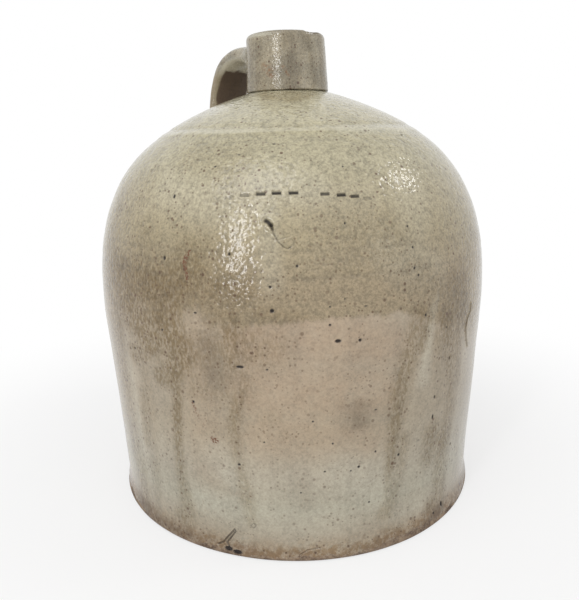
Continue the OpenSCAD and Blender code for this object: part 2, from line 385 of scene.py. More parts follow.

# Grooves: pixels along each, width, depth, painted shade
grooves = [
    ([(266, 220.5), (268.3, 222.2), (271, 225.2)], 0.0021, 0.0010, 1.0),
    ([(271, 225.5), (272, 228)], 0.0014, 0.0008, 0.8),
    ([(272.2, 229), (272.8, 230)], 0.0011, 0.0006, 0.7),
    ([(272.5, 231), (275, 236.5), (278.5, 242), (283, 246.5), (288, 248.6), (291.5, 246.5)],
     0.0006, 0.0004, 0.42),
    ([(278.5, 240), (284, 238), (290, 236.5)], 0.0006, 0.00025, 0.1),
    ([(471, 303), (470.5, 310), (467.5, 318), (466, 328), (466.3, 338), (467.4, 346)], 0.0008, 0.0007, 0.8),
    ([(219, 543), (224, 541), (229, 535.5), (235.5, 528.5), (236, 531), (231.5, 537), (227.5, 541.5),
      (230, 545)], 0.0009, 0.0006, 0.62),
    ([(251.5, 525), (254, 523), (256.5, 525), (254.5, 527.5), (251.8, 526)], 0.0006, 0.0003, 0.3),
    ([(300, 553), (308, 548), (318, 546.5)], 0.0008, 0.0004, 0.2),
    ([(189.5, 251), (186, 257), (184.5, 263), (186, 270), (187, 278)], 0.0014, 0.0001, 0.0),
]
# How high the clay stands beside a groove, as a share of its depth
groove_lip = 0.35
# Shares of a groove's width between which its side rises, and between which its lip rises and falls
groove_side_shares = (0.2, 0.65)
lip_rise_shares = (0.5, 1)
lip_fall_shares = (1.1, 1.8)

# Colour that the fire left, and painted shade and highlights, by its kind: along each stroke the pixels, half
# width and strength
strokes = {
    "run_and_shade": [
        [(160, 285, 0.0055, 0.7), (171, 300, 0.006, 1.0), (172, 317, 0.005, 1.0), (173, 350, 0.0048, 1.0),
         (174, 377, 0.0044, 1.0), (177, 395, 0.0036, 0.8), (177, 417, 0.0036, 0.85),
         (178, 447, 0.0034, 0.75), (182, 480, 0.004, 0.55), (190, 518, 0.006, 0.5)],
        [(171, 330, 0.012, 0.35), (184, 345, 0.012, 0.5), (205, 348, 0.012, 0.35)],
        [(134, 290, 0.006, 0.7), (139, 330, 0.0065, 0.7), (142, 360, 0.006, 0.4), (152, 420, 0.005, 0.3),
         (158, 500, 0.005, 0.3)],
        [(150, 158, 0.012, 0.2), (117, 210, 0.012, 0.6), (110, 260, 0.014, 0.65), (113, 310, 0.014, 0.75),
         (121, 360, 0.012, 0.7), (130, 420, 0.01, 0.5), (141, 470, 0.01, 0.65), (146, 500, 0.009, 0.7)],
        [(117, 285, 0.012, 0.9), (125, 305, 0.013, 0.95), (140, 324, 0.013, 1.0), (152, 340, 0.012, 1.0),
         (160, 352, 0.01, 0.6)],
        [(158, 318, 0.01, 0.9), (170, 334, 0.012, 1.0), (185, 354, 0.01, 0.9), (170, 377, 0.007, 0.9)],
        [(134, 352, 0.007, 0.8), (146, 352, 0.007, 0.7)],
        [(433, 432, 0.008, 0.8), (430, 455, 0.008, 0.7)],
        [(430, 505, 0.006, 0.8), (440, 492, 0.006, 0.6)],
        [(458, 330, 0.006, 0.9), (457, 380, 0.005, 0.6)],
        [(160, 376, 0.006, 0.8), (166, 373, 0.006, 0.7)],
        [(145, 395, 0.007, 0.5), (148, 440, 0.006, 0.5)],
        [(185, 350, 0.014, 0.45), (215, 352, 0.014, 0.55), (245, 346, 0.012, 0.55), (264, 350, 0.012, 0.4)],
        [(190, 380, 0.012, 0.4), (235, 385, 0.012, 0.35)],
        [(447, 322, 0.008, 0.95), (450, 345, 0.006, 0.9), (451, 380, 0.006, 0.7), (450, 410, 0.007, 0.7)],
        [(449, 415, 0.007, 0.7), (443, 440, 0.009, 1.0), (441, 465, 0.008, 0.65), (438, 495, 0.007, 0.7)],
        [(428, 318, 0.004, 0.7), (421, 347, 0.0045, 0.7)],
        [(461, 265, 0.006, 0.4), (459, 300, 0.006, 0.7)],
        [(404, 440, 0.005, 0.5), (398, 480, 0.004, 0.4), (384, 512, 0.005, 0.5)],
        [(140, 240, 0.014, 0.35), (138, 280, 0.016, 0.5), (150, 305, 0.014, 0.5)],
        [(228, 305, 0.006, 0.4), (231, 335, 0.007, 0.8), (231, 362, 0.006, 0.7)],
        [(160, 512, 0.006, 0.4), (185, 524, 0.006, 0.2)],
        [(241, 362, 0.003, 0.32), (244, 387, 0.0034, 0.52), (236, 407, 0.004, 0.64),
         (233, 427, 0.0036, 0.52), (238, 460, 0.0034, 0.4), (246, 493, 0.0042, 0.48),
         (252, 522, 0.004, 0.32)],
        [(421, 318, 0.0075, 0.65), (410, 353, 0.0068, 0.65), (400, 393, 0.0068, 0.72),
         (394, 433, 0.0046, 0.68), (390, 467, 0.0034, 0.64), (388, 497, 0.0024, 0.32)],
        [(456, 285, 0.009, 0.64), (458, 313, 0.0085, 0.76), (453, 335, 0.007, 0.4)],
        [(435, 425, 0.0026, 0.4), (437, 470, 0.003, 0.4), (443, 495, 0.003, 0.24)],
        [(450, 345, 0.004, 0.2), (449, 400, 0.004, 0.2)],
        [(118, 283, 0.011, 0.5), (157, 290, 0.013, 0.55), (200, 286, 0.013, 0.45), (236, 294, 0.01, 0.4)],
        [(206, 250, 0.012, 0.3), (218, 270, 0.012, 0.35)],
        [(267, 417, 0.005, 0.18), (273, 417, 0.005, 0.18)],
        # Painted shade on the top where it meets the front of the neck
        [(275, 95, 0.006, 0.6), (298, 94, 0.006, 0.6)],
        [(262, 94, 0.0035, 0.6), (272, 98, 0.005, 0.65), (288, 100, 0.006, 0.65), (303, 98, 0.005, 0.6),
         (312, 93, 0.0035, 0.6)],
        # Painted shade of the thin crease over the ledge at the ring
        [(200, 130.6, 0.0004, 0.48), (226, 129.6, 0.0005, 0.72), (254, 129, 0.0004, 0.4)],
        [(137, 318, 0.007, 0.6), (140, 345, 0.006, 0.45), (143, 372, 0.005, 0.2)],
        [(213, 318, 0.006, 0.5), (217, 350, 0.006, 0.35)],
        [(186, 345, 0.009, 0.3), (200, 352, 0.009, 0.3)],
        [(127, 245, 0.006, 0.3), (130, 285, 0.008, 0.45)],
        [(190, 255, 0.012, 0.3), (205, 285, 0.01, 0.35)],
        [(445, 315, 0.009, 0.65), (442, 345, 0.008, 0.6), (440, 370, 0.007, 0.36), (440, 400, 0.007, 0.24)],
        [(457, 430, 0.004, 0.4), (458, 480, 0.004, 0.24)],
        [(190, 158, 0.012, 0.3), (232, 162, 0.012, 0.3)],
        [(330, 236, 0.014, 0.3), (385, 240, 0.015, 0.42)],
        [(122, 190, 0.008, 0.5), (109, 250, 0.008, 0.6)],
        [(122, 282, 0.012, 0.8), (168, 298, 0.012, 0.8)],
        [(112, 262, 0.012, 0.8), (128, 283, 0.014, 0.9), (165, 288, 0.014, 0.85), (190, 274, 0.012, 0.75)],
        [(112, 225, 0.009, 0.5), (128, 180, 0.007, 0.35)],
        [(412, 272, 0.01, 0.4), (436, 290, 0.009, 0.4)],
        [(463, 285, 0.008, 0.8), (464, 315, 0.008, 0.8)],
        [(190, 262, 0.012, 0.6), (186, 275, 0.012, 0.4)],
        [(130, 212, 0.012, 0.35), (150, 175, 0.01, 0.25)],
        [(118, 300, 0.008, 0.9), (120, 340, 0.007, 0.9)],
        [(183, 517, 0.006, 0.7), (188, 524, 0.005, 0.4)],
        [(216, 288, 0.008, 0.7), (238, 290, 0.008, 0.7)],
        [(258, 314, 0.004, 0.4), (300, 319, 0.004, 0.4)],
    ],
    "smoke_and_dark_band": [
        [(361, 410, 0.0065, 0.7), (361, 419, 0.0072, 0.75)],
        [(353, 413, 0.0095, 0.25), (367, 414, 0.0095, 0.3)],
        # A darker band down the middle of the neck
        [(288, 40, 0.0045, 0.4), (290, 84, 0.005, 0.5)],
        [(208, 345, 0.007, 0.45), (218, 374, 0.008, 0.5)],
        [(302, 485, 0.005, 0.3), (307, 504, 0.004, 0.3)],
        [(440, 506, 0.0035, 0.9), (428, 522, 0.003, 0.7), (405, 537, 0.003, 0.6), (372, 545, 0.003, 0.25)],
        [(140, 498, 0.004, 0.5), (160, 522, 0.004, 0.6), (196, 538, 0.0035, 0.4)],
    ],
    "blush": [
        [(256, 342, 0.017, 0.9), (330, 340, 0.016, 0.95), (385, 345, 0.013, 0.9)],
        [(262, 390, 0.02, 0.9), (330, 392, 0.019, 0.95), (375, 392, 0.013, 0.9)],
        [(264, 436, 0.014, 0.8), (330, 438, 0.013, 0.8), (372, 440, 0.01, 0.7)],
        [(196, 325, 0.01, 0.4), (205, 420, 0.013, 0.55), (212, 475, 0.012, 0.45)],
    ],
    # Paler glaze, and painted highlights and glare
    "pale": [
        [(437, 298, 0.003, 0.4), (432, 318, 0.003, 0.5), (428, 350, 0.0035, 0.5), (424, 380, 0.005, 0.4)],
        [(128, 360, 0.004, 0.3), (138, 420, 0.005, 0.35), (142, 460, 0.005, 0.3)],
        [(392, 250, 0.012, 0.35), (410, 262, 0.013, 0.45), (430, 272, 0.012, 0.35)],
        # Painted glare on the top beside the neck
        [(250, 95, 0.004, 1.0), (234, 104, 0.008, 1.0), (215, 112, 0.008, 0.8)],
        [(322, 92, 0.004, 1.0), (332, 98, 0.007, 0.7), (352, 104, 0.008, 0.4)],
        # Painted highlight along the ledge at the ring
        [(172, 134, 0.0024, 0.9), (215, 132, 0.0024, 0.7), (250, 131.5, 0.002, 0.3)],
        [(340, 129.5, 0.003, 0.6), (370, 128.5, 0.004, 0.9), (395, 128, 0.0045, 1.0),
         (410, 130, 0.004, 0.8)],
        [(205, 500, 0.008, 0.3), (300, 525, 0.01, 0.3), (345, 518, 0.01, 0.2)],
        [(215, 455, 0.009, 0.4), (228, 472, 0.009, 0.5), (238, 484, 0.006, 0.4)],
        # Painted highlights on the shoulder round the row of dashes
        [(172, 188, 0.011, 0.3), (215, 205, 0.014, 0.35), (228, 214, 0.008, 0.3)],
        [(262, 188, 0.009, 0.3), (312, 187, 0.009, 0.35)],
        [(266, 205, 0.007, 0.4), (269, 212, 0.006, 0.4)],
        [(268, 240, 0.006, 0.4), (272, 282, 0.006, 0.3)],
        [(355, 393, 0.006, 0.15), (372, 388, 0.005, 0.15)],
        [(412, 195, 0.012, 0.3), (412, 225, 0.012, 0.3)],
        # Painted highlight on the rounded lip
        [(249, 35.5, 0.0014, 0.9), (256, 34.2, 0.0016, 0.9), (264, 33.4, 0.0015, 0.8),
         (271, 33, 0.001, 0.6)],
        [(206, 500, 0.009, 0.5), (262, 520, 0.009, 0.3)],
        [(345, 470, 0.012, 0.25), (378, 492, 0.012, 0.35)],
        [(415, 510, 0.008, 0.35), (395, 518, 0.008, 0.25)],
        [(285, 543, 0.004, 0.3), (330, 545, 0.004, 0.35), (368, 540, 0.004, 0.35)],
        [(234, 539, 0.0025, 0.5), (246, 540, 0.003, 0.4)],
    ],
    "rust": [
        [(189.5, 251, 0.0008, 0.7), (186, 257, 0.0011, 1.0), (184.5, 263, 0.0013, 1.0),
         (186, 270, 0.0008, 0.7), (187, 278, 0.001, 1.0)],
        [(211, 438, 0.001, 0.5), (215, 441, 0.0019, 0.9), (217, 443, 0.001, 0.4)],
        [(192, 402, 0.0008, 0.7), (197, 414, 0.0007, 0.5), (207, 431, 0.0007, 0.4)],
        [(234, 543, 0.003, 0.2), (246, 546, 0.0035, 0.3), (256, 549, 0.003, 0.25)],
        [(235, 493, 0.003, 0.22), (252, 495, 0.003, 0.22)],
        [(205, 507, 0.003, 0.2), (206, 510, 0.003, 0.2)],
        [(265, 66, 0.002, 0.6), (269, 70, 0.0026, 0.8), (272, 75, 0.002, 0.6)],
        [(283, 66, 0.001, 0.5), (289, 75, 0.0008, 0.5)],
    ],
}

# Where the thick glaze ends: pixels, from the left edge of the view to the right one
change_pixels = [
    (110, 300), (140, 310), (180, 314), (212, 320), (232, 325), (262, 326), (292, 323.5), (330, 320),
    (370, 316.5), (400, 313), (415, 316), (432, 320), (462, 333),
]
# How many times softer the change is, by side
change_blur = [
    (-3.1, 3.0), (-1.5, 4.0), (-0.6, 5.0), (-0.3, 2.0), (-0.15, 1.0), (0.5, 1.0), (0.8, 2.5), (1.5, 3.0),
]
# From which share of a stroke's half width its colour fades, and where it ends
stroke_fade_shares = (0.25, 1.6)
# Fine lines that the potter's fingers left round the dome: pixels, half width, depth and painted shade
throwing_lines = [
    ((290, 252), 0.0005, 0.00012, 0.12), ((290, 279.5), 0.0006, 0.00014, 0.14),
    ((290, 262), 0.0004, 0.00006, 0.05),
]
line_fade_shares = (0.3, 1.6)
# How far round a mark its points are looked for, as a share of its reach
mark_margin_share = 1.2


class Mark:
    """A hollow in the skin: its middle, its directions, its reach and the way it lowers the skin."""

    def __init__(self, place, out, reach, hollow):
        self.place, self.out, self.reach, self.hollow = place, out, reach, hollow
        self.across = Vector((0, 0, 1)).cross(out).normalized()
        self.up = out.cross(self.across)

    def flat(self, points):
        """Places on the skin, across and up from the mark's middle."""
        away = points - np.array(self.place)
        return away @ np.array(self.across), away @ np.array(self.up)


def pit_hollow(width, height):
    depth = min(pit_depth_limit, pit_depth_share * min(width, height))

    def hollow(across, up):
        inside = np.hypot(across / (width / 2), up / (height / 2))
        lowered = depth * (1 - smooth(inside, *pit_fade_shares))
        return lowered, 1 - smooth(inside, *pit_dark_shares)

    return hollow


def dash_hollow(press):
    def hollow(across, up):
        inside = np.minimum(dash_width / 2 - abs(across), dash_height / 2 - abs(up))
        lowered = dash_depth * press * smooth(inside, -dash_edge, dash_edge)
        return lowered, press * smooth(inside, -dash_edge / 2, dash_edge / 2)

    return hollow


def groove_hollow(line, width, depth, dark):
    """line holds the groove's corners, across and up from its middle."""

    def hollow(across, up):
        nearest = np.full(len(across), np.inf)
        for (x0, y0), (x1, y1) in zip(line, line[1:]):
            dx, dy = x1 - x0, y1 - y0
            share = np.clip(((across - x0) * dx + (up - y0) * dy) / (dx * dx + dy * dy), 0, 1)
            nearest = np.minimum(nearest, np.hypot(across - x0 - dx * share, up - y0 - dy * share))
        inside = 1 - smooth(nearest, *shares_of(width, groove_side_shares))
        lip = smooth(nearest, *shares_of(width, lip_rise_shares))
        lip -= smooth(nearest, *shares_of(width, lip_fall_shares))
        return depth * (inside - groove_lip * lip), dark * inside

    return hollow


def jug_marks():
    """Every mark in the glaze, placed on the jug."""
    marks = []
    for (x, y), width, height in pits:
        marks.append(Mark(*on_jug(x, y), max(width, height), pit_hollow(width, height)))
    draw = random.Random(stray_seed)
    for _ in range(stray_pits):
        side, height = draw.uniform(*stray_sides), draw.uniform(*stray_heights)
        width = mix(*stray_widths, draw.random() ** stray_power)
        upward = width * draw.uniform(*stray_upward_shares)
        place, out = outside_at(side_turn + side, height)
        marks.append(Mark(place, out, max(width, upward), pit_hollow(width, upward)))
    for (x, y), press in zip(dashes, dash_press_shares):
        marks.append(Mark(*on_jug(x, y), dash_width, dash_hollow(press)))
    for pixels, width, depth, dark in grooves:
        places = [on_jug(x, y)[0] for x, y in pixels]
        middle = sum(places, Vector()) / len(places)
        mark = Mark(*outside_at(math.atan2(middle.y, middle.x), middle.z), 0, None)
        mark.reach = max((p - middle).length for p in places) + 2 * width
        across, up = mark.flat(np.array([p[:] for p in places]))
        mark.hollow = groove_hollow(list(zip(across, up)), width, depth, dark)
        marks.append(mark)
    return marks


# Named values of the skin, the rim, the handle, the glaze, the floor and the lamps

# Unevenness of the thrown wall: size across, size upward and how far it reaches inward
throwing_rings = (0.4, 0.013, 0.00016)
throwing_waves = (0.09, 0.05, 0.0004)
wiped_dents = (0.02, 0.012, 0.00007)
neck_dents = [(0.03, 0.006, 0.00012), (0.009, 0.009, 0.00012)]
handle_dents = [(0.011, 0.011, 0.0003), (0.004, 0.004, 0.00008)]
# Level of the noise from which every dent reaches inward
dent_level = 0.6
# Dents of the underside: their depth, how many to a metre and their level, and how high it stays calm
underside_dents = 0.00005
underside_waves = 60
underside_level = 0.9
underside_calm = (0.0002, 0.003)
# Middle height of the glaze's edge over the foot, how far it wanders, in which waves, as how many to a metre
# and how strong, how proud it stands and how soft its step is
glaze_edge_height = 0.0035
glaze_edge_wander = 0.003
glaze_edge_waves = [(22, 1.0), (90, 0.55), (260, 0.3)]
glaze_edge_proud = 0.00028
glaze_edge_soft = 0.0006
# The foot swells a little on the side that the photograph shows on the right
foot_swell = 0.0022
swell_side = 0.35
swell_power = 4
swell_height = 0.04
swell_radii = (0.106, 0.113)
# How far the top swells between ring and neck
top_swell = 0.0008
# Worn ledge of the top over the ring, and the paler glaze with a painted highlight along it
ring_calm = 0.005
ledge_wear = 0.0003
ledge_reach = 0.006
ledge_paint = 0.0022
ledge_paint_shares = (0.4, 1)
# Waves of its wear, as how many to the ring's radius and how strong
ledge_waves = [(2.3, 0.5), (19, 0.35)]
# The ledge's soft riser: share of its step, and how far back
ledge_riser = [(0, 0), (0.2, 0.0006), (0.5, 0.0016), (0.8, 0.003), (0.95, 0.0042), (1, 0.005)]
# How many points of the top's plain line the riser takes the place of
riser_points = 5
# Up to which height the distance over the glaze's edge is worked out
edge_limit = 0.03
# What the points inside the wall have in place of their distance over the change
inside_change = 0.1
# How far the glaze drips where the change is soft
drip_reach = 0.0025

# Bites out of the rim: turn about the axis, radius and how much higher than the chip's own middle
chip_bites = [(0, chip_radius, 0), (-0.17, 0.0036, -0.0012), (0.15, 0.0044, -0.0008)]
# How far round a bite the mesh is cut finer, down to which length of edge, the waves of the bite's surface,
# as how many to a metre and how strong, and how deep a bite shows all of the clay's colour
bite_margin = 0.0015
bite_edge = 0.0003
bite_waves = [(420, 0.09), (1300, 0.05)]
bite_paint = 0.0002
# How far the neck leans at its rim
neck_lean = 0.0008
# Section of the groove at the neck's root, inward and upward as shares of its depth, and the share at which
# the neck's side starts over it
seam_shares = [(1, 0), (0.7, 0.3), (0.15, 0.8)]
seam_top_share = 1.5

# Handle's meshes: rows along the strap and the rolls, how far the strap is buried in the jug, how far the
# rolls reach along the strap, and how proud, how sunk at their far end and how deep in the strap they lie
strap_rows = 120
roll_rows = 40
end_bury = 0.0012
roll_far = (0.3, 0.76)
roll_proud = 0.00005
roll_sink = 0.0006
roll_inside = 0.0012
# How suddenly the rolls sink there, how uneven they are, in how many waves to a metre, and how much clay is
# wiped in under the strap
roll_sink_power = 6
roll_wander = 0.2
roll_waves = 160
armpit_share = 0.5
# How suddenly the strap widens at its ends
flare_power = 3
# Between which places along the strap its two ends are looked for, in how many tries
neck_search = (0.3, -0.6)
foot_search = (0.7, 1.15)
end_tries = 30
# Flutes that the potter's fingers drew along the strap
flute_depth = 0.00025
flute_width = 0.0085

# Angle in degrees from which an edge of the shown pieces is sharp
body_sharp = 55
neck_sharp = 40
handle_sharp = 70

# Middle height of the change in the glaze on the sides that the photograph doesn't show
change_height = 0.137
# Its waves there, as how many to a metre and how high, and the turn from the camera where they take over
change_waves = [(20, 0.012), (70, 0.006)]
change_seen = (1.2, 1.7)

# Colours as the eye names them, 0 to 255. The body's change with the height.
wall_colours = [
    (0.0, (152, 137, 117)), (0.03, (162, 156, 138)), (0.05, (164, 155, 137)), (0.075, (160, 148, 127)),
    (0.1, (161, 149, 129)), (0.137, (164, 151, 131)),
]
dome_colours = [
    (0.12, (146, 131, 105)), (0.15, (148, 133, 107)), (0.175, (156, 144, 116)), (0.195, (168, 158, 131)),
    (0.208, (174, 166, 139)), (0.222, (171, 163, 134)), (0.24, (183, 176, 149)),
]
# Height at which both rows of colours end
colours_top = 0.25
# Plain colours, and the tints that darken or warm what they cover
run_and_shade_colour = (187, 174, 146)
speck_colour = (84, 60, 42)
# pit_colour is painted shade: in the hollows of the marks, and in the groove at the neck's root
pit_colour = (30, 25, 25)
clay_dark = (84, 66, 55)
clay_light = (156, 134, 112)
clay_ash = (160, 146, 126)
toast_colour = (200, 180, 156)
neck_colour = (160, 151, 131)
neck_dark = (196, 184, 160)
ledge_pale_and_highlight_colour = (196, 190, 168)
lip_highlight_colour = (184, 180, 162)
rust_colour = (98, 56, 34)
neck_rust = (124, 88, 56)
chip_colour = (106, 98, 84)
handle_colour = (172, 166, 150)
inner_colour = (96, 80, 66)
inner_painted_light = (206, 200, 182)
edge_colour = (138, 124, 100)
lip_top_colour = (122, 115, 99)
blush_tint = (255, 243, 235)
pale_and_highlight_colour = (204, 201, 184)
smoke_and_dark_band_tint = (200, 196, 192)
slip_light = (74, 47, 31)
slip_dark = (52, 33, 24)

# Orange peel: its size and depth on the body, how much larger it is on the shoulder and between which
# heights it grows, and its size and depths on the neck and the handle against the body's
peel_size = 0.0019
peel_depth = 0.0003
coarse_peel = 1.5
coarse_from = (0.17, 0.215)
neck_peel = 0.6
neck_depth = 0.6
handle_depth = 0.9
grain_size = 0.0012
# Between which levels of a noise soft and clear patches change
soft_patches = (0.3, 0.7)
clear_patches = (0.35, 0.65)
# Edge of the thick glaze: how wide and how far it frays, how wide its drips are, and how soft it is
fray_size = 0.006
fray_reach = 0.008
drip_size = 0.009
change_edge = (-0.0018, 0.0022)
# Colours of the fire: sizes of their ragged edges, of the loose blush, of the loose runs and of the grain in
# the runs, and from which height to which the loose runs set in
ragged_size = 0.006
blush_size = 0.05
loose_size = 0.024
loose_heights = (0.165, 0.13)
run_grain_size = 0.0015
# Clouds and upright streaks of the body, and the patches in which its specks crowd, also toward the foot
body_clouds = 0.03
streak_size = 0.011
crowd_size = 0.016
crowd_heights = (0.014, 0.003)
# Patches of the ledge's paler glaze and painted highlight, and the bits that the rust is broken into
ledge_patch_size = 0.02
broken_size = 0.0011
# Bare foot: waves of the glaze's edge, how soft that edge is, and how far over it the glaze is toasted
foot_wave_size = 0.0022
foot_wave_reach = 0.0035
bare_edge = (0.0006, -0.0008)
toast_reach = 0.0125
# Its flakes, mottles and ash, the heights of its dark line at the floor, and the grain of its clay
flake_size = 0.0035
mottle_size = 0.006
ash_size = 0.0012
floor_line = (0.0025, 0.0005)
clay_grain_size = 0.0009
# Patches of more and less gloss on the body, on neck and handle, and in the lining
body_gloss_size = 0.004
neck_gloss_size = 0.0016
slip_gloss_size = 0.003
# Neck and handle: clouds and streaks of their glaze
neck_clouds = 0.012
neck_streaks = 0.006
# Neck: how far below the rim its lip is worn, in which patches, its rust, and the painted shade of the groove
# at its root
lip_worn = (0.0028, 0.0005)
lip_patches = 0.005
neck_rust_size = 0.002
root_line = 0.0008
root_patches = 0.012
# Handle's inner face: below which height it is bare, how soft the darker glaze sets in there, the patches
# beside the bare clay, the waves of its upper edge and how soft that edge is
inner_bare_height = 0.2655
inner_change = (0.003, -0.006)
inner_patches = 0.009
inner_wave_size = 0.008
inner_wave_reach = 0.009
inner_wave_soft = 0.0008
# Clouds in the lining's slip
slip_clouds = 0.01
# Iron specks: how far apart, how wide against that, how many places hold one, and how strong
body_specks = [(0.0021, 0.28, 0.5, 0.72), (0.0037, 0.22, 0.5, 0.85), (0.011, 0.09, 0.6, 0.9)]
neck_specks = [(0.0017, 0.3, 0.55, 0.7), (0.0036, 0.2, 0.55, 0.9)]
# Turn of the side toward the camera about the jug's axis
side_turn = math.radians(-135)
# From which turn to the left or right of the camera the loose patches of the far side start
far_side = (1.3, 1.65)

# Light: how bright the world is for soft light
fill_level = 0.7
# The floor: how bright it looks beside the jug, its radius, its sides, how far it lies under the base
floor_glow = 0.66
floor_reach = 6.0
floor_sides = 96
floor_drop = 0.00005
floor_colour = (0.8, 0.8, 0.8, 1)
floor_roughness = 0.9
floor_specular = 0.1
# How far from the jug its shadow fades into the background
shadow_fade = (0.16, 0.42)
# Where the lamps look, and each lamp's name, side and height in degrees, distance, width, height and power
lamp_aim = Vector((0, 0, 0.14))
lamps = [
    ("tall_softbox", -29, 20, 1.4, 0.15, 0.95, 5.4),
    ("round_lamp", 90, 42, 1.3, 0.24, 0.24, 1.3, "DISK"),
    ("overhead", -33, 60, 1.5, 0.8, 0.8, 4.6),
    ("front_sheet", 32, 30, 1.6, 1.4, 1.4, 3.0),
]


# Skin of the thrown sections


def rough(place, across, upward, reach):
    at = Vector((place[0] / across, place[1] / across, place[2] / upward))
    return reach * (noise.noise(at) - dent_level)


def glaze_edge(place):
    """Height of the glaze's edge over the foot, on the side where place is."""
    side = Vector((place[0], place[1], 0))
    wave = sum(share * noise.noise(side * count) for count, share in glaze_edge_waves)
    return glaze_edge_height + glaze_edge_wander * wave


def side_of(x, y):
    """Side of the jug in radians: 0 toward the camera, growing to the camera's right."""
    axis = Vector((camera_place.x, camera_place.y)).normalized()
    return math.atan2(axis.x * y - axis.y * x, axis.x * x + axis.y * y)


def painted(places, kind):
    """How strongly the strokes of one kind cover each place."""
    cover = np.zeros(len(places))
    for line in strokes[kind]:
        points = [(np.array(on_jug(x, y)[0]), width, strength) for x, y, width, strength in line]
        for (a, wide_a, strong_a), (b, wide_b, strong_b) in zip(points, points[1:]):
            along = b - a
            share = np.clip((places - a) @ along / (along @ along), 0, 1)
            away = np.linalg.norm(places - a - share[:, None] * along, axis=1)
            fall = 1 - smooth(away / mix(wide_a, wide_b, share), *stroke_fade_shares)
            cover = np.maximum(cover, fall * mix(strong_a, strong_b, share))
    return cover


change_points = sorted((side_of(*on_jug(x, y)[0].xy), on_jug(x, y)[0].z) for x, y in change_pixels)
line_heights = [(on_jug(x, y)[0].z, width, depth, shade) for (x, y), width, depth, shade in throwing_lines]


def change_at(place):
    """Height at which the thick glaze ends, on the side where place is."""
    side = Vector((place[0], place[1], 0))
    turn = side_of(place[0], place[1])
    known = np.interp(turn, [at for at, z in change_points], [z for at, z in change_points])
    seen = 1 - smooth(abs(turn), *change_seen)
    loose = change_height + sum(reach * noise.noise(side * count) for count, reach in change_waves)
    return float(mix(loose, known, seen))


def change_softness(place):
    """How much the change is drawn out downward: sharp in the middle of the view, and soft beside it."""
    turn = side_of(place[0], place[1])
    return float(np.interp(turn, *zip(*change_blur)))


def body_relief(place):
    """How far the skin of the body lies off its outline. It stays on it at the ring, where the top starts."""
    off_ring = math.hypot(math.hypot(place[0], place[1]) - ring_radius, place[2] - ring_height)
    rise = sum(rough(place, *wave) for wave in (throwing_rings, throwing_waves, wiped_dents))
    return min(0.0, rise) * float(smooth(off_ring, 0, ring_calm))


def swell(place):
    """How far the foot swells outward."""
    lobe = max(0.0, math.cos(side_of(place[0], place[1]) - swell_side)) ** swell_power
    radius = math.hypot(place[0], place[1])
    return foot_swell * lobe * float(smooth(radius, *swell_radii) * (1 - smooth(place[2], 0, swell_height)))


def base_relief(place):
    """The slab lies on the floor, so its underside is nearly flat."""
    calm = float(smooth(place[2], *underside_calm))
    dent = underside_dents * (noise.noise(Vector(place) * underside_waves) - underside_level)
    return mix(dent, body_relief(place), calm)


def neck_relief(place):
    return min(0.0, sum(rough(place, *dents) for dents in neck_dents))


def top_relief(place):
    """The body's relief, a slight swell between ring and neck, and the unevenly worn ledge."""
    radius = math.hypot(place[0], place[1])
    side = Vector((place[0] / radius, place[1] / radius, 0))
    wear = 0.5 + sum(share * noise.noise(side * count) for count, share in ledge_waves)
    edge = clamp(1 - (ring_radius - radius) / ledge_reach)
    share = clamp((ring_radius - radius) / (ring_radius - neck_root_radius))
    return body_relief(place) + top_swell * 4 * share * (1 - share) - ledge_wear * clamp(wear) * edge


def skin(line):
    """Points of a profile with the direction out of the skin at each."""
    return [(p, -left_of(line, i)) for i, p in enumerate(line)]


def hidden(line):
    return [(p, Vector((0, 0))) for p in line]


def spun(profile, sides, closed=True):
    """Spin a profile of points round the jug's axis. A layer keeps the direction out of the skin."""
    bm = bmesh.new()
    out_layer = bm.verts.layers.float_vector.new("skin_out")
    verts = []
    for point, out in profile:
        verts.append(bm.verts.new((point.x, 0, point.y)))
        verts[-1][out_layer] = (out.x, 0, out.y)
    pairs = list(zip(verts, verts[1:])) + ([(verts[-1], verts[0])] if closed else [])
    edges = [bm.edges.new(pair) for pair in pairs]
    # A narrow slice is spun, and doubled round the axis until it closes
    steps, reach = sides, 2 * math.pi
    while steps % 2 == 0:
        steps, reach = steps // 2, reach / 2
    bmesh.ops.spin(bm, geom=verts + edges, cent=(0, 0, 0), axis=(0, 0, 1), angle=reach, steps=steps)
    while reach < 1.9 * math.pi:
        copied = bmesh.ops.duplicate(bm, geom=bm.verts[:] + bm.edges[:] + bm.faces[:])["geom"]
        turned = [g for g in copied if isinstance(g, bmesh.types.BMVert)]
        bmesh.ops.rotate(bm, verts=turned, cent=(0, 0, 0), matrix=Matrix.Rotation(reach, 3, "Z"))
        reach *= 2
    bmesh.ops.remove_doubles(bm, verts=bm.verts, dist=weld_distance)
    bmesh.ops.recalc_face_normals(bm, faces=bm.faces)
    return bm


def refine(bm, marks):
    """Cut the faces round the marks into smaller ones."""
    places = places_of(bm)
    near = np.zeros(len(places), bool)
    for mark in marks:
        near |= np.linalg.norm(places - np.array(mark.place), axis=1) < mark.reach + skin_step
    bm.verts.index_update()
    faces = [f for f in bm.faces if all(near[v.index] for v in f.verts)]
    edges = list(dict.fromkeys(e for f in faces for e in f.edges))
    bmesh.ops.subdivide_edges(bm, edges=edges, cuts=refine_cuts, use_grid_fill=True)


def places_of(bm):
    return np.array([v.co[:] for v in bm.verts])


def keep(bm, name, values):
    """Keep a value at each point, for the glaze to read."""
    layer = bm.verts.layers.float.new(name)
    for vert, value in zip(bm.verts, values):
        vert[layer] = value


def skin_directions(bm, places):
    """The direction out of the skin at each point, and nothing at the points inside the wall."""
    layer = bm.verts.layers.float_vector["skin_out"]
    outs = np.array([v[layer][:] for v in bm.verts])
    bm.verts.layers.float_vector.remove(layer)
    sides = places[:, :2] / np.maximum(np.hypot(places[:, 0], places[:, 1]), on_axis)[:, None]
    return np.column_stack([outs[:, :1] * sides, outs[:, 2]])


